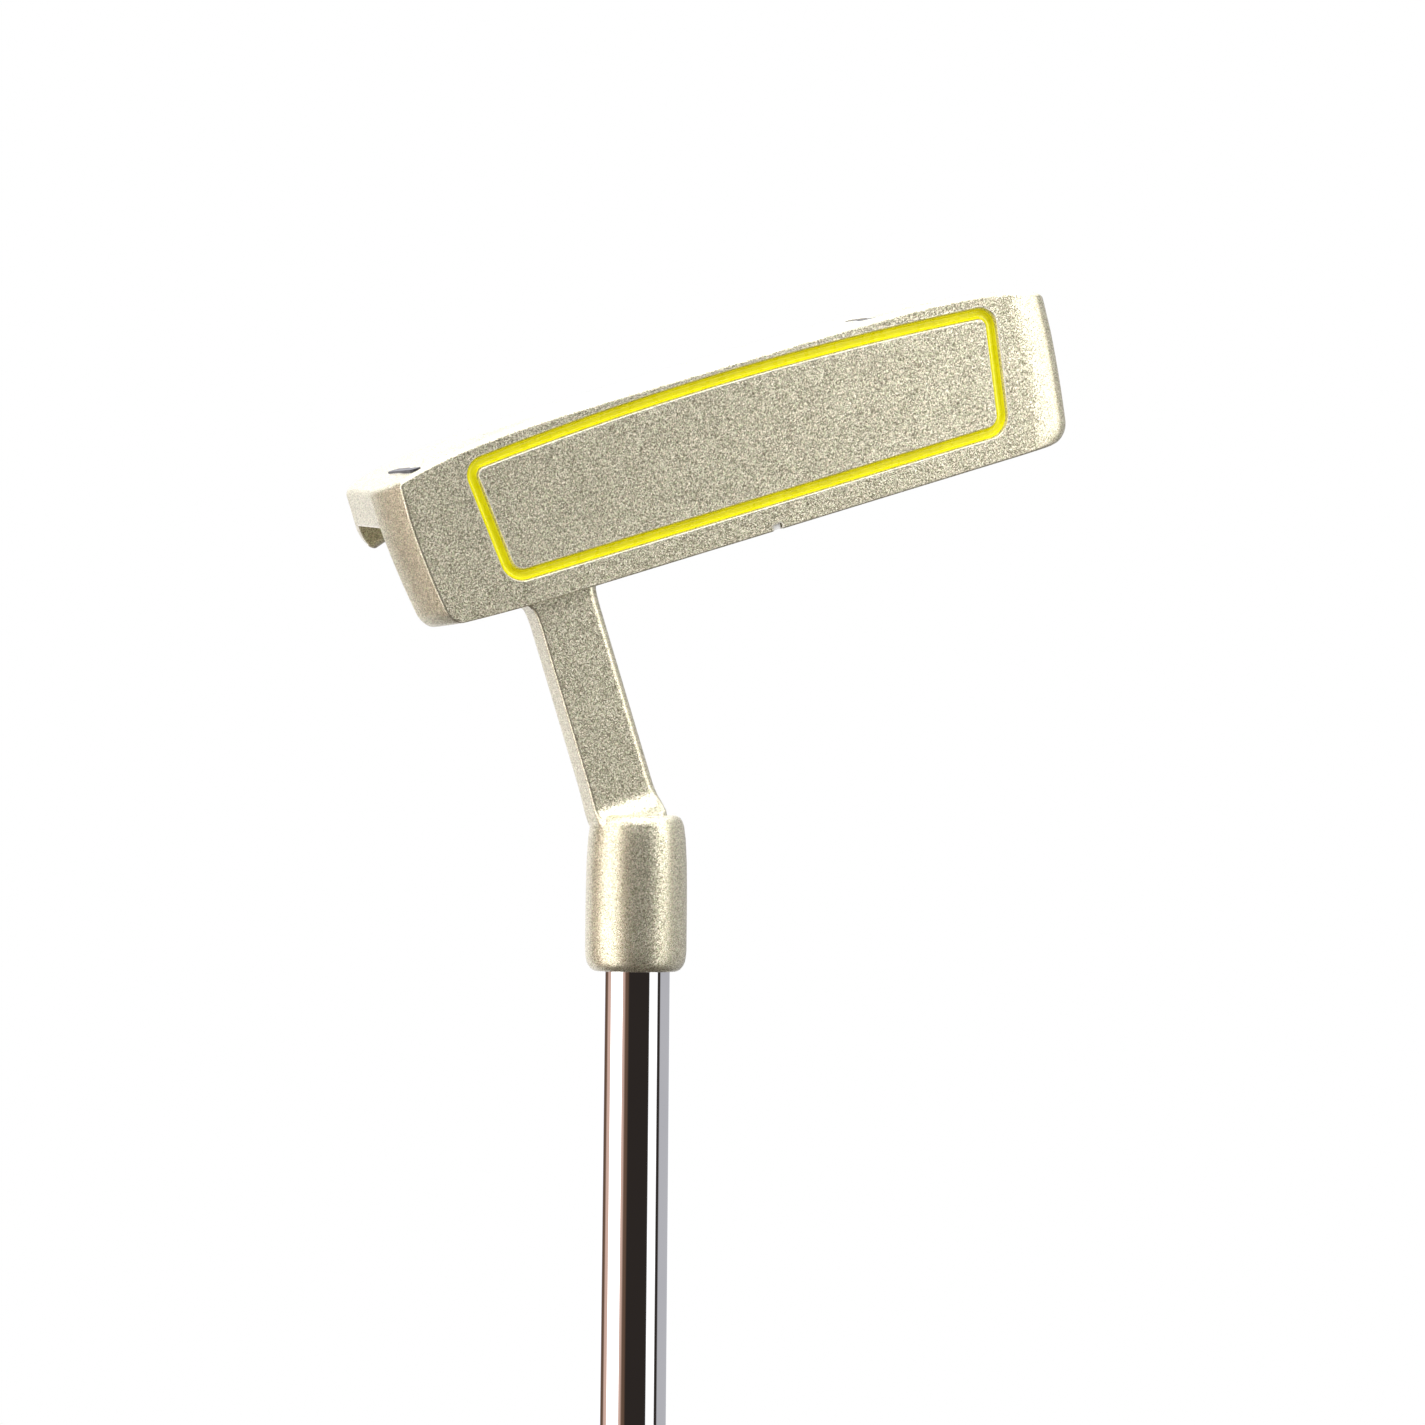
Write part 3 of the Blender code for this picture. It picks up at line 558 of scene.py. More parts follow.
def head_lines(edge, spans=48, steps=10):
    """Plan lines, heel to toe: the face, the blade's back, the rim's front and the rim's back."""
    start = HEEL + 1.2 * MM
    runs = [start + (TOE - start) * i / spans for i in range(spans)]
    heel, toe = heel_end(edge, steps), toe_end(edge, steps)
    face = heel + [(x, 0) for x in runs] + toe
    count = len(face)
    ends = (heel[0][0] + edge * 0.4, toe[-1][0] - edge * 0.4)
    back = [(ends[0] + (ends[1] - ends[0]) * i / (count - 1), BLADE) for i in range(count)]
    back[0], back[-1] = face[0], face[-1]
    rim_z = DEPTH - RIM_WALL
    rim_front = [(HEEL_BACK + (TOE_BACK - HEEL_BACK) * i / (count - 1), rim_z)
                 for i in range(count)]
    knees = (HEEL_BACK + REAR_CORNER, TOE_BACK - REAR_CORNER)
    rim_back = [rim_front[0]] + arc((knees[0], DEPTH - REAR_CORNER), REAR_CORNER, 180, 90, steps)
    straight = count - 2 * len(rim_back)
    for i in range(1, straight + 1):
        t = i / (straight + 1)
        rim_back.append((knees[0] + (knees[1] - knees[0]) * t, DEPTH + REAR_BOW * 4 * t * (1 - t)))
    rim_back += arc((knees[1], DEPTH - REAR_CORNER), REAR_CORNER, 90, 0, steps) + [rim_front[-1]]
    return face, back, rim_front, rim_back


def quarter(radius, steps):
    """A rounded edge, as (rise, inset) from the horizontal face to the wall."""
    turn = [math.pi / 2 * i / steps for i in range(steps + 1)]
    return [(radius * (1 - math.cos(a)), radius * (1 - math.sin(a))) for a in turn]


def head_body(steps=6):
    """Blade, flange and back rim: strips side by side in plan, each with its own height."""
    bm = bmesh.new()
    levels = (0.1, 0.22, 0.35, 0.5, 0.62, 0.72, 0.79, 0.84, 0.88, 0.91, 0.935, 0.955, 0.97)

    def row(line, height, inset=0.0, centre=DEPTH / 2, shift=0.0, ends=0.0):
        """A plan line raised to its height, after moving it in from the outline by the inset."""
        points = []
        for x, z in line:
            pull = inset + ends * (0.45 + 0.55 * max(0.0, z - DEPTH + RIM_WALL) / RIM_WALL)
            shrunk = MIDDLE + (x - MIDDLE) * (1 - pull / half_length(x))
            deep = centre + (z - centre) * (1 - inset / min(centre, DEPTH - centre))
            clear = max(0.0, min(1.0, (x - line[0][0]) / (2 * MM), (line[-1][0] - x) / (2 * MM)))
            points.append(bm.verts.new(head_point(shrunk, deep + shift * clear, height(x))))
        return points

    def strips(rows):
        for low, high in zip(rows, rows[1:]):
            for i in range(len(low) - 1):
                corners = list(dict.fromkeys((low[i], low[i + 1], high[i + 1], high[i])))
                if len(corners) > 2:
                    bm.faces.new(corners)

    def foot(line):
        rows = [row(line, lambda x, r=rise: sole(x) + r, inset)
                for rise, inset in quarter(SOLE_ROUND, steps)]
        return rows + [row(line, lambda x: sole(x) + FLOOR)]

    def fillet(line, side, rounding=0.0):
        """Rows just above the channel's floor; side is which way the cast radius spreads."""
        rows = []
        for rise, inset in quarter(CHANNEL_ROUND, steps)[1:]:
            up = max(0.0, FLOOR + rise - RIM + RIM_CORNER) if rounding else 0.0
            rows.append(row(line, lambda x, r=rise: sole(x) + FLOOR + r,
                            shift=side * inset, ends=corner(up)))
        return rows

    def corner(up):
        return RIM_CORNER - math.sqrt(RIM_CORNER ** 2 - min(up, RIM_CORNER) ** 2)

    def crown(line, radius, top, centre, ends=False):
        """The rounding at the top of a wall."""
        rows = []
        for drop, inset in reversed(quarter(radius, steps)):
            up = corner(RIM_CORNER - drop - 0.25 * MM) if ends else 0.0
            rows.append(row(line, lambda x, d=drop: top(x) - d, inset, centre, ends=up))
        return rows

    def blade(line, side):
        rows = fillet(line, side)
        for level in levels:
            rows.append(row(line, lambda x, t=level: sole(x) + FLOOR + CHANNEL_ROUND
                            + (topline(x) - sole(x) - FLOOR - CHANNEL_ROUND) * t))
        return rows + crown(line, TOP_ROUND, topline, BLADE / 2)

    def rim(line, side):
        rows = fillet(line, side, 1.0)
        for up in (1.2 * MM, 1.6 * MM, 2.0 * MM, 2.4 * MM, 2.7 * MM):
            rise = RIM - RIM_CORNER + up
            if FLOOR + CHANNEL_ROUND < rise < RIM - RIM_ROUND:
                rows.append(row(line, lambda x, r=rise: sole(x) + r, ends=corner(up)))
        return rows + crown(line, RIM_ROUND, lambda x: sole(x) + RIM, DEPTH - RIM_WALL / 2, True)

    plain, eased = head_lines(0.0), head_lines(BACK_EDGE)
    face, back, rim_front, rim_back = [foot(line) for line in plain]
    channel = [row(plain[1], lambda x: sole(x) + FLOOR, shift=CHANNEL_ROUND),
               row(plain[2], lambda x: sole(x) + FLOOR, shift=-CHANNEL_ROUND)]
    upper = [blade(eased[0], 0), blade(eased[1], 1)]
    rims = [rim(plain[2], -1), rim(plain[3], 0)]
    strips(face + upper[0])
    strips([channel[0]] + upper[1])
    strips([channel[1]] + rims[0])
    strips(rim_back + rims[1])
    strips([upper[0][-1], upper[1][-1]])
    strips([rims[0][-1], rims[1][-1]])
    strips(channel)
    strips([face[0], back[0], rim_front[0], rim_back[0]])
    for i in (0, -1):
        strips([[line[i] for line in rows] for rows in (face, rim_front)])
    bmesh.ops.delete(bm, geom=[v for v in bm.verts if not v.link_faces], context="VERTS")
    return bm


def groove_ring(out, steps=12):
    """One edge of the groove in the plane of the face, at this distance outside its centre line."""
    slant = math.hypot(1, GROOVE_LEAN)
    low_r, top_r = GROOVE_CORNERS
    top = (GROOVE_HALF - GROOVE_LEAN * (GROOVE_TOP - top_r - GROOVE_LOW) - top_r * slant,
           GROOVE_TOP - top_r)
    rise = GROOVE_LOW + low_r + (GROOVE_HALF - low_r) ** 2 / (2 * GROOVE_CAMBER)
    low = (GROOVE_HALF - GROOVE_LEAN * (rise - GROOVE_LOW) - low_r * slant, rise)
    tilt = math.degrees(math.atan(GROOVE_LEAN))

    def bottom(x):
        return rise - low_r - (low[0] ** 2 - x * x) / (2 * GROOVE_CAMBER) - out

    right = arc(low, low_r + out, -90, tilt, steps) + arc(top, top_r + out, tilt, 90, steps)
    left = [(-x, y) for x, y in reversed(right)]
    under = [(x, bottom(x)) for x in (low[0] * (i / 16 - 1) for i in range(1, 32))]
    over = [(top[0] * (1 - i / 16), GROOVE_TOP + out) for i in range(1, 32)]
    return [(GROOVE_MID + x, y) for x, y in under + right + over + left]


def groove_band(name, edges, mat=None):
    """A closed band that follows the groove; edges are (distance from its centre line, depth)."""
    rings = [[(x, y, deep + y * math.tan(LOFT)) for x, y in groove_ring(off)]
             for off, deep in edges]
    return loft(name, rings, mat, HEAD_FRAME, "meet", 50)


def groove_profile(shrink=0.0):
    """Half of the groove's cross-section, from the face down to the middle of its floor."""
    half, floor = GROOVE_WIDE / 2 - shrink, GROOVE_FLOOR / 2 - shrink
    deep, lip, bend = GROOVE_DEEP - shrink, GROOVE_LIP, GROOVE_BEND
    points = []
    if not shrink:
        points = [(half + lip * (1 - math.sin(a)), lip * (1 - math.cos(a))) for a in
                  (math.radians(t) for t in (20, 40, 60, 80))]
    slope = (half - floor) / deep
    points.append((half - slope * 0.5 * deep, 0.5 * deep))
    for degrees in (0, 22, 45, 67, 90):
        a = math.radians(degrees)
        points.append((floor - bend * (1 - math.cos(a)), deep - bend * (1 - math.sin(a))))
    return points


def bar_section(left, right, front, back, corner_left, corner_right, steps=6, turns=16):
    """A flat front between two rounded corners, straight sides, and a round back."""
    waist = front + 0.45 * (back - front)
    turn = [math.radians(90 * i / turns) for i in range(turns + 1)]
    toe = arc((right - corner_right, front + corner_right), corner_right, -90, 0, steps)
    toe += [(right * math.cos(a), waist + (back - waist) * math.sin(a)) for a in turn]
    heel = arc((left - corner_left, front + corner_left), corner_left, -90, 0, steps)
    heel += [(left * math.cos(a), waist + (back - waist) * math.sin(a)) for a in turn]
    return toe + [(-x, y) for x, y in reversed(heel[:-1])]


def neck():
    """A bar from inside the hosel sleeve to inside the blade, drawn along its own axis."""
    top = (TOPLINE_Z - MOUTH_Z - NECK_CROSS) / math.cos(NECK_LEAN) - 3.6 * MM
    half = NECK_WIDE / 2 / MM
    stations = (
        # along the axis; past half the width, heel and toe side; front; back; heel corner
        (0.2 * MM, 0.3, -1.2, -0.6, -1.0, 3.0),
        (1.5 * MM, 0.5, -0.8, -1.6, -0.7, 3.0),
        (3.0 * MM, 0.6, -0.4, -3.1, -0.4, 3.0),
        (3.8 * MM, 0.45, -0.25, -2.9, -0.25, 2.6),
        (4.5 * MM, 0.4, -0.1, -2.0, -0.1, 1.8),
        (5.0 * MM, 0.35, 0, -1.35, 0, 1.2),
        (5.6 * MM, 0.3, 0, -0.8, 0, 0.8),
        (6.2 * MM, 0.24, 0, -0.4, 0, 0.55),
        (6.9 * MM, 0.18, 0, -0.14, 0, 0.4),
        (7.8 * MM, 0.1, 0, 0, 0, 0.4),
        (10 * MM, 0, 0, 0, 0, 0.4),
        (0.5 * top, 0, 0, 0, 0, 0.4),
        (top - 3.2 * MM, 0, 0, 0, 0, 0.4),
        (top - 1.6 * MM, 0.1, 0.05, 0, 0, 0.4),
        (top - 0.7 * MM, 0.3, 0.15, 0, 0, 0.4),
        (top, 0.8, 0.4, 0, 0, 0.4),
        (top + 0.7 * MM, 1.8, 0.9, 0, 0, 0.4),
        (top + 9.0 * MM, 0.8, 0.4, 0.3, -3.6, 0.4),
    )
    rings = []
    for along, left, right, front, back, corner in stations:
        ring = bar_section((half + left) * MM, (half + right) * MM, NECK_FRONT + front * MM,
                           NECK_BACK + back * MM, corner * MM, NECK_TOE_CORNER)
        rings.append([(x, y, along) for x, y in ring])
    place = Matrix.Translation((0, 0, MOUTH_Z + NECK_CROSS)) @ Matrix.Rotation(-NECK_LEAN, 4, "Y")
    return loft("neck", rings, None, place)


def slab(name, centre, size, mat=None, ends=0.0, up=1, hollow=0.0, segments=8):
    """A bar in the head's frame, its ends rounded and the side towards up slightly hollow."""
    wide, tall, long = size
    radius = min(ends, wide / 2)
    outline = []
    for side, end, start in ((1, 1, 0), (-1, 1, 90), (-1, -1, 180), (1, -1, 270)):
        middle = (side * (wide / 2 - radius), end * (long / 2 - radius))
        outline += arc(middle, radius, start, start + 90, segments) if radius else [middle]
    rims = [(-tall / 2, 0), (tall / 2, 0)]
    if hollow:
        rims += [(tall / 2 - hollow * t * (2 - t), 0.5 * wide * t * 0.8) for t in (0.33, 0.66, 1.0)]
    rings = []
    for rise, inset in rims:
        ring = [(x - math.copysign(min(abs(x), inset), x), z - math.copysign(inset, z))
                for x, z in outline]
        rings.append([(centre[0] + x, centre[1] + up * rise, centre[2] + z) for x, z in ring])
    return loft(name, rings, mat, HEAD_FRAME, smooth=30)


def slots():
    """The four filled slots: name, place, size, which way is out, enamel's length, end radius."""
    lean = HEAD_HEIGHT * math.tan(LOFT)
    channel = DEPTH - RIM_WALL - BLADE
    size = (SIGHT_WIDE, SIGHT_DEEP, BLADE + 4 * MM)
    middle = (SIGHT_X, topline(SIGHT_X), (BLADE + lean) / 2)
    found = [("topline_sight_enamel", middle, size, 1, BLADE - lean - 2 * GAP, 0.0)]
    size = (SIGHT_WIDE, SIGHT_DEEP, channel - 3 * MM)
    middle = (SIGHT_X, sole(SIGHT_X) + FLOOR, BLADE + channel / 2)
    found.append(("flange_sight_enamel", middle, size, 1, channel - 3 * MM, 0.7 * MM))
    for side, (x, z) in (("heel", HEEL_MARK), ("toe", TOE_MARK)):
        size = (MARK_WIDE, SIGHT_DEEP, MARK_LONG)
        name = "sole_mark_" + side + "_enamel"
        found.append((name, (x, sole(x), z), size, -1, MARK_LONG, 0.8 * MM))
    return found


def head(paint):
    obj = piece("putter_head_casting", head_body(), paint, HEAD_FRAME)
    boolean(obj, neck(), "UNION")
    sleeve = [(0, SLEEVE_LONG), (0, 0)]
    sleeve += [(SLEEVE_R - inset * MM, height * MM) for inset, height in SLEEVE_MOUTH]
    sleeve += [(SLEEVE_R - inset * MM, share * SLEEVE_LONG) for inset, share in SLEEVE_SHOULDER]
    boolean(obj, lathe("sleeve", sleeve, None, MOUTH_Z), "UNION")
    bore_r, mouth_r = TIP_R + BORE_CLEAR, TIP_R + BORE_CLEAR + CUT_CLEAR
    bore = ((0, BORE_DEEP), (0, -5 * MM), (mouth_r, -5 * MM), (mouth_r, 0), (bore_r, 0.4 * MM),
            (bore_r, BORE_DEEP))
    boolean(obj, lathe("bore", bore, None, MOUTH_Z), "DIFFERENCE")
    half = groove_profile()
    edges = [(half[0][0] + CUT_CLEAR, -CUT_CLEAR)] + half
    edges = edges + [(-off, deep) for off, deep in reversed(edges)]
    boolean(obj, groove_band("groove_cut", edges), "DIFFERENCE")
    for name, (x, y, z), (wide, deep, long), up, _, ends in slots():
        centre = (x, y - up * (deep / 2 - MM), z)
        cut = slab(name + "_slot", centre, (wide, deep + 2 * MM, long), ends=ends)
        boolean(obj, cut, "DIFFERENCE")
    even_shading(obj)
    return obj


def groove_paint(mat):
    """The yellow coat on the groove's walls and floor, as one closed skin."""
    outer = groove_profile(COAT_CLEAR)
    inner = groove_profile(COAT)
    edges = outer + [(-off, deep) for off, deep in reversed(outer)]
    edges += [(-off, deep) for off, deep in inner] + [(off, deep) for off, deep in reversed(inner)]
    return groove_band("groove_enamel_coat", edges, mat)


def mark_fills(white, dark):
    made = []
    for name, (x, y, z), (wide, deep, _), up, filled, ends in slots():
        mat = white if "sight" in name else dark
        tall = deep - FILL
        centre = (x, y - up * (FILL + tall / 2), z)
        size = (wide - 0.02 * MM, tall - 0.02 * MM, filled - 0.02 * MM)
        obj = slab(name + "_fill", centre, size, mat, max(ends, 0.35 * MM), up, MENISCUS)
        made.append((obj, name))
    return made


# ---------------------------------------------------------------- shaft
def shaft_radius(z):
    """Outer radius of the tube at this height: nearly parallel near the tip, then tapering."""
    knee = MOUTH_Z + BORE_DEEP - SLOW_LONG
    if z > knee:
        return TIP_R + SLOW_TAPER * (MOUTH_Z + BORE_DEEP - z)
    slow = TIP_R + SLOW_TAPER * SLOW_LONG
    return slow + (BUTT_R - slow) * (knee - z) / (knee - SHAFT_BUTT_Z)


def shaft(mat):
    low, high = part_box("shaft")
    knee = MOUTH_Z + BORE_DEEP - SLOW_LONG
    heights = [low.z, low.z + BUTT_BREAK, 0.5 * (low.z + knee), knee - 4 * MM, knee,
               knee + 4 * MM, high.z - TIP_BREAK, high.z]
    outer = [(shaft_radius(z), z) for z in heights]
    outer[0] = (outer[0][0] - BUTT_BREAK, low.z)
    outer[-1] = (outer[-1][0] - TIP_BREAK, high.z)
    inner = [(shaft_radius(z) - WALL, z) for z in reversed(heights)]
    return lathe("chromed_shaft_tube", outer + inner, mat, sides=160)


def glue_bead(mat):
    """The epoxy in the joint, with the thin fillet that stands at the hosel's mouth."""
    low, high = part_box("hosel_epoxy")
    outside = TIP_R + 0.72 * MM
    tube_r = shaft_radius(MOUTH_Z) + 0.02 * MM
    profile = [(tube_r, high.z), (tube_r, MOUTH_Z + 0.15 * MM),
               (tube_r + 0.25 * MM, MOUTH_Z + 0.22 * MM),
               (outside, MOUTH_Z + 0.5 * MM), (outside, high.z)]
    return lathe("hosel_epoxy_ring", profile, mat, sides=96)


# ---------------------------------------------------------------- grip
def grip_section(flat, wide, reach, steps=8, turns=22):
    """Flat on the toe side, with rounded corners and a round back."""
    half = wide / 2
    section = bar_section(half, half, -flat, reach, GRIP_CORNER, GRIP_CORNER, steps, turns)
    return [(-y, x) for x, y in section]


def grip_station(z):
    low, high = GRIP_STATIONS[0][0], GRIP_STATIONS[-1][0]
    z = min(max(z, low), high)
    for near, far in zip(GRIP_STATIONS, GRIP_STATIONS[1:]):
        if z <= far[0]:
            t = (z - near[0]) / (far[0] - near[0])
            return tuple(a + (b - a) * t for a, b in zip(near[1:], far[1:]))
    return GRIP_STATIONS[-1][1:]


def fine_ring(flat, wide, reach, count=128):
    """The grip's section as evenly spaced points, with the outward direction at each."""
    outline = grip_section(flat, wide, reach)
    steps = [math.dist(a, b) for a, b in zip(outline, outline[1:] + outline[:1])]
    total, points = sum(steps), []
    k, run = 0, 0.0
    for i in range(count):
        want = total * i / count
        while run + steps[k] < want:
            run += steps[k]
            k += 1
        a, b = Vector(outline[k]), Vector(outline[(k + 1) % len(outline)])
        points.append(a.lerp(b, (want - run) / steps[k]))
    made = []
    for i, point in enumerate(points):
        along = points[(i + 1) % count] - points[i - 1]
        made.append((point, Vector((along.y, -along.x)).normalized()))
    return made


def tread(z, u, facing):
    """Depth of the moulded pattern: short slots round the back, two rows of dots on the flat."""
    low, high = 14 * MM, 250 * MM
    fade = min(1.0, max(0.0, (z - low) / (4 * MM)), max(0.0, (high - z) / (4 * MM)))
    if facing > 0.8:
        row = (z - low) % (7.0 * MM) - 3.5 * MM
        across = abs(u) - 3.2 * MM
        dot = math.hypot(row, across)
        return fade * 0.45 * MM * max(0.0, min(1.0, (1.5 * MM - dot) / (0.6 * MM)))
    pitch = 3.2 * MM
    brick = int((z - low) // pitch) % 2
    slot = abs((z - low) % pitch - pitch / 2)
    gap = abs((u / (7.5 * MM) + 0.5 * brick) % 1.0 - 0.5) * 7.5 * MM
    deep = min(1.0, max(0.0, (0.85 * MM - slot) / (0.45 * MM)))
    return fade * 0.5 * MM * deep * min(1.0, max(0.0, (gap - 0.6 * MM) / (0.5 * MM)))


def grip(mat):
    low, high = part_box("grip")
    count, rows = 128, 380
    bm = bmesh.new()
    rings = []
    for r in range(rows + 1):
        z = low.z + (high.z - low.z) * r / rows
        flat, wide, reach = grip_station(z)
        ring, run = [], 0.0
        section = fine_ring(flat, wide, reach, count)
        for i, (point, out) in enumerate(section):
            run = point.y if out.x > 0.8 else math.atan2(point.y, -point.x) * 11 * MM
            moved = point - out * tread(z, run, out.x)
            ring.append(bm.verts.new((moved.x, moved.y, z)))
        rings.append(ring)
    bore = []
    for z in (high.z, low.z):
        radius = shaft_radius(z) + 0.8 * MM
        bore.append([bm.verts.new((radius * math.cos(a), radius * math.sin(a), z)) for a in
                     (math.atan2(v.co.y, v.co.x) for v in rings[0])])
    skin(bm, rings + bore, "meet")
    return piece("moulded_grip", bm, mat, None, 50)


def end_cap(mat):
    """The cap that closes the grip: a rounded edge, a shallow dished middle and a vent hole."""
    flat, wide, reach = GRIP_STATIONS[0][1:]
    middle = Vector(((flat - reach) / 2, 0))
    bm = bmesh.new()
    rings = []
    levels = [(0.55, 0.5), (0.62, 0.3), (0.66, 0.12), (0.72, 0.0)]
    outline = [point for point, _ in fine_ring(flat, wide, reach, 128)]

    def ring(scale, inset, z):
        made = []
        for point in outline:
            away = point - middle
            made.append(bm.verts.new((*(middle + away * scale - away.normalized() * inset), z)))
        return made

    vent = 1.1 * MM
    hole = []
    for z in (2.6 * MM, 0.7 * MM, 0.55 * MM):
        spread = vent + (0.15 * MM if z < 0.6 * MM else 0)
        hole.append([bm.verts.new((spread * away.x, spread * away.y, z)) for away in
                     ((point - middle).normalized() for point in outline)])
    rings = hole + [ring(scale, 0, z * MM) for scale, z in levels]
    for i in range(7):
        a = math.pi / 2 * i / 6
        rings.append(ring(1.0, 1.0 * MM * (1 - math.sin(a)), 1.0 * MM * (1 - math.cos(a))))
    rings.append(ring(1.0, 0, CAP_THICK - 0.2 * MM))
    rings.append(ring(1.0, 0.2 * MM, CAP_THICK))
    stem_r, top = BUTT_R - WALL - GAP, CAP_THICK + CAP_STEM
    for radius, z in ((stem_r, CAP_THICK), (stem_r, top - MM), (stem_r - MM, top)):
        rings.append([bm.verts.new((radius * away.x, radius * away.y, z)) for away in
                      ((point - middle).normalized() for point in outline)])
    skin(bm, rings, "filled")
    return piece("grip_cap_moulding", bm, mat, None, 40)


# ---------------------------------------------------------------- studio
VIEW = math.radians(20.5)            # the camera stands this far to the heel side of the face
AHEAD = Vector((math.sin(VIEW), math.cos(VIEW), 0))
RIGHT = Vector((math.cos(VIEW), -math.sin(VIEW), 0))
DISTANCE = 1.0
SIDEWAYS = 10.23 * MM                # from the hosel's mouth to the middle of the picture
UPWARDS = 35.8 * MM
ROLL = math.radians(0.6)
SENSOR, LENS = 36, 183.4
GLOW = 2.6                           # radiance of the softboxes
ROOM = (0.45, 0.45, 0.47)            # tints of the panels round the club, against the softboxes
GREY = (0.18, 0.18, 0.19)
BRIGHT = (1.0, 1.0, 1.0)
HALF = (0.55, 0.55, 0.55)
WARM = (0.25, 0.17, 0.14)
BROWN = (0.05, 0.03, 0.02)
DARK = (0.01, 0.008, 0.007)
PANELS = (
    # first and last angle round from the camera, to its right, in degrees; tint
    (-180, -124, ROOM), (-119, -107, BROWN), (-101, -90, WARM), (-84, -44, BRIGHT),
    (-42, -37, WARM), (-31, -24, BROWN), (-19, 48, DARK), (51, 79, HALF),
    (82, 92, DARK), (95, 165, GREY), (175, 180, ROOM),
)
CEILING = (1.5, 1.53, 1.6, 1)
GROUND = (0.035, 0.030, 0.026, 1)
STEEP = (0.5, 0.85)                  # the panels end and the ceiling is full at these slopes
KEY_TURN = math.radians(62)          # the near softbox stands this far to the camera's right,
KEY_RISE = 0.25                      # raised this much for each unit out,
KEY_AWAY = 0.26                      # and this far from the toe
KEY_SIZE = (0.10, 0.20)
KEY_POWER = 0.20
FILL_RISE = 0.45
FILL_AWAY = 0.9
FILL_SIZE = (0.6, 0.6)
FILL_POWER = 2.8


def camera():
    data = bpy.data.cameras.new("photo_camera")
    data.sensor_width, data.lens = SENSOR, LENS
    obj = placed("photo_camera", data)
    place = RIGHT * SIDEWAYS - AHEAD * DISTANCE + Vector((0, 0, MOUTH_Z + UPWARDS))
    turn = Matrix((RIGHT, (0, 0, 1), -AHEAD)).transposed().to_4x4()
    obj.matrix_world = Matrix.Translation(place) @ turn @ Matrix.Rotation(ROLL, 4, "Z")
    data.clip_start, data.clip_end = 0.05, 50
    bpy.context.scene.camera = obj


def studio_world():
    """Panels all round the club, light and dark, under a bright ceiling; the camera sees white."""
    world = bpy.data.worlds.new("studio")
    bpy.context.scene.world = world
    graph = Graph(world)
    graph.tree.nodes.clear()
    way = graph.node("ShaderNodeTexCoord").outputs["Generated"]
    toward = graph.vector("DOT_PRODUCT", way, tuple(-AHEAD))
    aside = graph.vector("DOT_PRODUCT", way, tuple(RIGHT))
    up = graph.vector("DOT_PRODUCT", way, (0, 0, 1))
    angle = graph.maths("ARCTAN2", aside, toward)
    turn = graph.maths("ADD", graph.maths("MULTIPLY", angle, 0.5 / math.pi), 0.5)
    stops = [(edge / 360 + 0.5, tint) for *edges, tint in PANELS for edge in edges]
    walls = graph.ramp(turn, stops)
    above = graph.spread(up, *STEEP, kind="SMOOTHSTEP")
    around = graph.mix(above, walls, CEILING)
    below = graph.spread(graph.maths("MULTIPLY", up, -1.0), *STEEP, kind="SMOOTHSTEP")
    around = graph.mix(below, around, GROUND)
    lit = graph.node("ShaderNodeBackground", Color=around, Strength=GLOW)
    plain = graph.node("ShaderNodeBackground", Color=(1, 1, 1, 1), Strength=1.0)
    seen = graph.node("ShaderNodeLightPath").outputs["Is Camera Ray"]
    both = graph.node("ShaderNodeMixShader", i0=seen, i1=lit.outputs[0], i2=plain.outputs[0])
    graph.node("ShaderNodeOutputWorld", Surface=both.outputs[0])


def softbox(name, size, power, aim, out, away):
    """A light this far from the point it faces; out leads from that point to the light."""
    data = bpy.data.lights.new(name, "AREA")
    data.shape = "RECTANGLE"
    data.size, data.size_y = size
    data.energy = power
    obj = placed(name, data)
    obj.location = aim + out.normalized() * away
    obj.rotation_euler = out.to_track_quat("Z", "Y").to_euler()
    obj.visible_camera = False
    return obj


def key_light():
    """A small softbox close to the toe, so the face is brightest there and dims to the heel."""
    toe = HEAD_FRAME @ Vector((TOE, 0.5 * HEAD_HEIGHT, 0))
    out = RIGHT * math.sin(KEY_TURN) - AHEAD * math.cos(KEY_TURN) + Vector((0, 0, KEY_RISE))
    softbox("toe_softbox", KEY_SIZE, KEY_POWER, toe, out, KEY_AWAY)


def fill_light():
    """A broad, dim light from above the camera that only lifts matt colours, with no reflection."""
    out = Vector((0, 0, FILL_RISE)) - AHEAD
    obj = softbox("front_fill", FILL_SIZE, FILL_POWER, Vector((0, 0, TOPLINE_Z)), out, FILL_AWAY)
    obj.visible_glossy = False


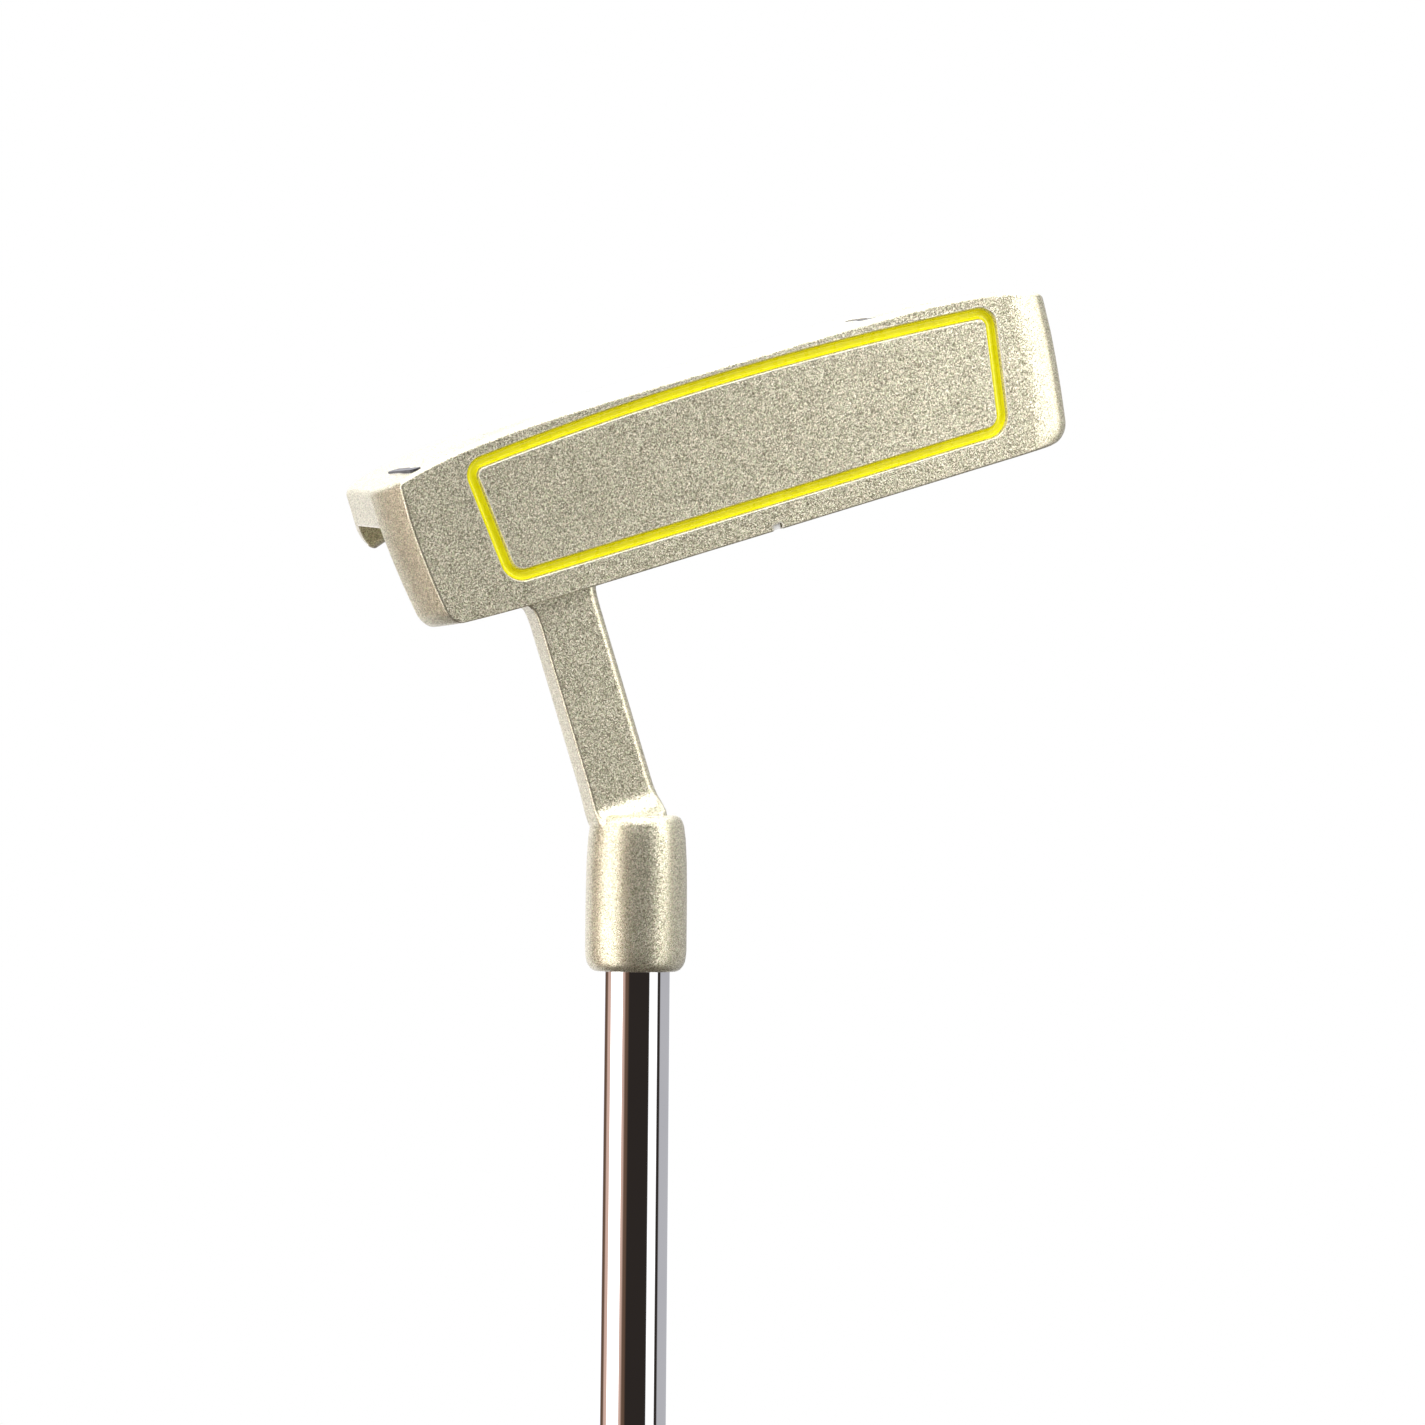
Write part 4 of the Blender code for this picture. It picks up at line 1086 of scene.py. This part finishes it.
def floor():
    """A pale disc under the butt end that fades out into the white of the room."""
    bm = bmesh.new()
    rings = [[bm.verts.new((0, 0, 0))] * 96]
    for radius in (0.05 * 1.25 ** k for k in range(22)):
        rings.append([bm.verts.new((radius * math.cos(a), radius * math.sin(a), 0))
                      for a in full_turn(96)])
    skin(bm, rings)
    mat, graph, inputs = finish_of("pale_floor", Metallic=0.0, Roughness=0.65,
                                   Specular_IOR_Level=0.3)
    where = graph.place()
    cloud = graph.spread(graph.noise(where, 6.0), 0.3, 0.7)
    pale = graph.mix(cloud, (0.86, 0.86, 0.86, 1), (0.83, 0.83, 0.832, 1))
    graph.feed(inputs["Base Color"], pale)
    far = graph.node("ShaderNodeVectorMath", {"operation": "LENGTH"}, i0=where).outputs["Value"]
    graph.feed(inputs["Alpha"], graph.spread(far, 0.8, 4.5, 1.0, 0.0, "SMOOTHSTEP"))
    obj = piece("studio_floor", bm, mat)
    obj.location.z = -0.0004
    obj.visible_diffuse = False
    obj.visible_glossy = False


# ---------------------------------------------------------------- assembly
def stand(obj, node):
    """obj rides with the club and stands for that CAD node, which is hidden."""
    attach(obj, "root")
    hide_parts(node)


def recoat(node, mat):
    """Gives a carried-over CAD node this material."""
    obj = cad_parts[node]
    obj.data.materials.clear()
    obj.data.materials.append(mat)


def build():
    yellow = enamel("yellow_enamel_coat", (0.96, 0.90, 0.004, 1), (0.86, 0.80, 0.004, 1))
    white = enamel("white_enamel_fill", (0.82, 0.82, 0.80, 1), (0.74, 0.74, 0.71, 1))
    dark = enamel("dark_enamel_fill", (0.012, 0.012, 0.018, 1), (0.03, 0.03, 0.04, 1), 0.5)
    stand(head(flake_paint()), "putter_head")
    stand(groove_paint(yellow), "face_groove_enamel")
    for obj, node in mark_fills(white, dark):
        stand(obj, node)
    stand(shaft(chrome()), "shaft")
    stand(glue_bead(glue()), "hosel_epoxy")
    stand(grip(rubber()), "grip")
    black = moulded("cap_plastic_black", (0.02, 0.02, 0.021, 1), (0.06, 0.06, 0.06, 1), 0.42)
    grey = moulded("plug_plastic_grey", (0.30, 0.30, 0.31, 1), (0.42, 0.42, 0.42, 1), 0.5)
    stand(end_cap(black), "grip_end_cap")
    recoat("shaft_tip_plug", grey)
    recoat("grip_tape", masking_paper())


camera()
studio_world()
key_light()
fill_light()
floor()
build()
scene = bpy.context.scene
scene.view_settings.view_transform = "Standard"
scene.view_settings.look = "None"
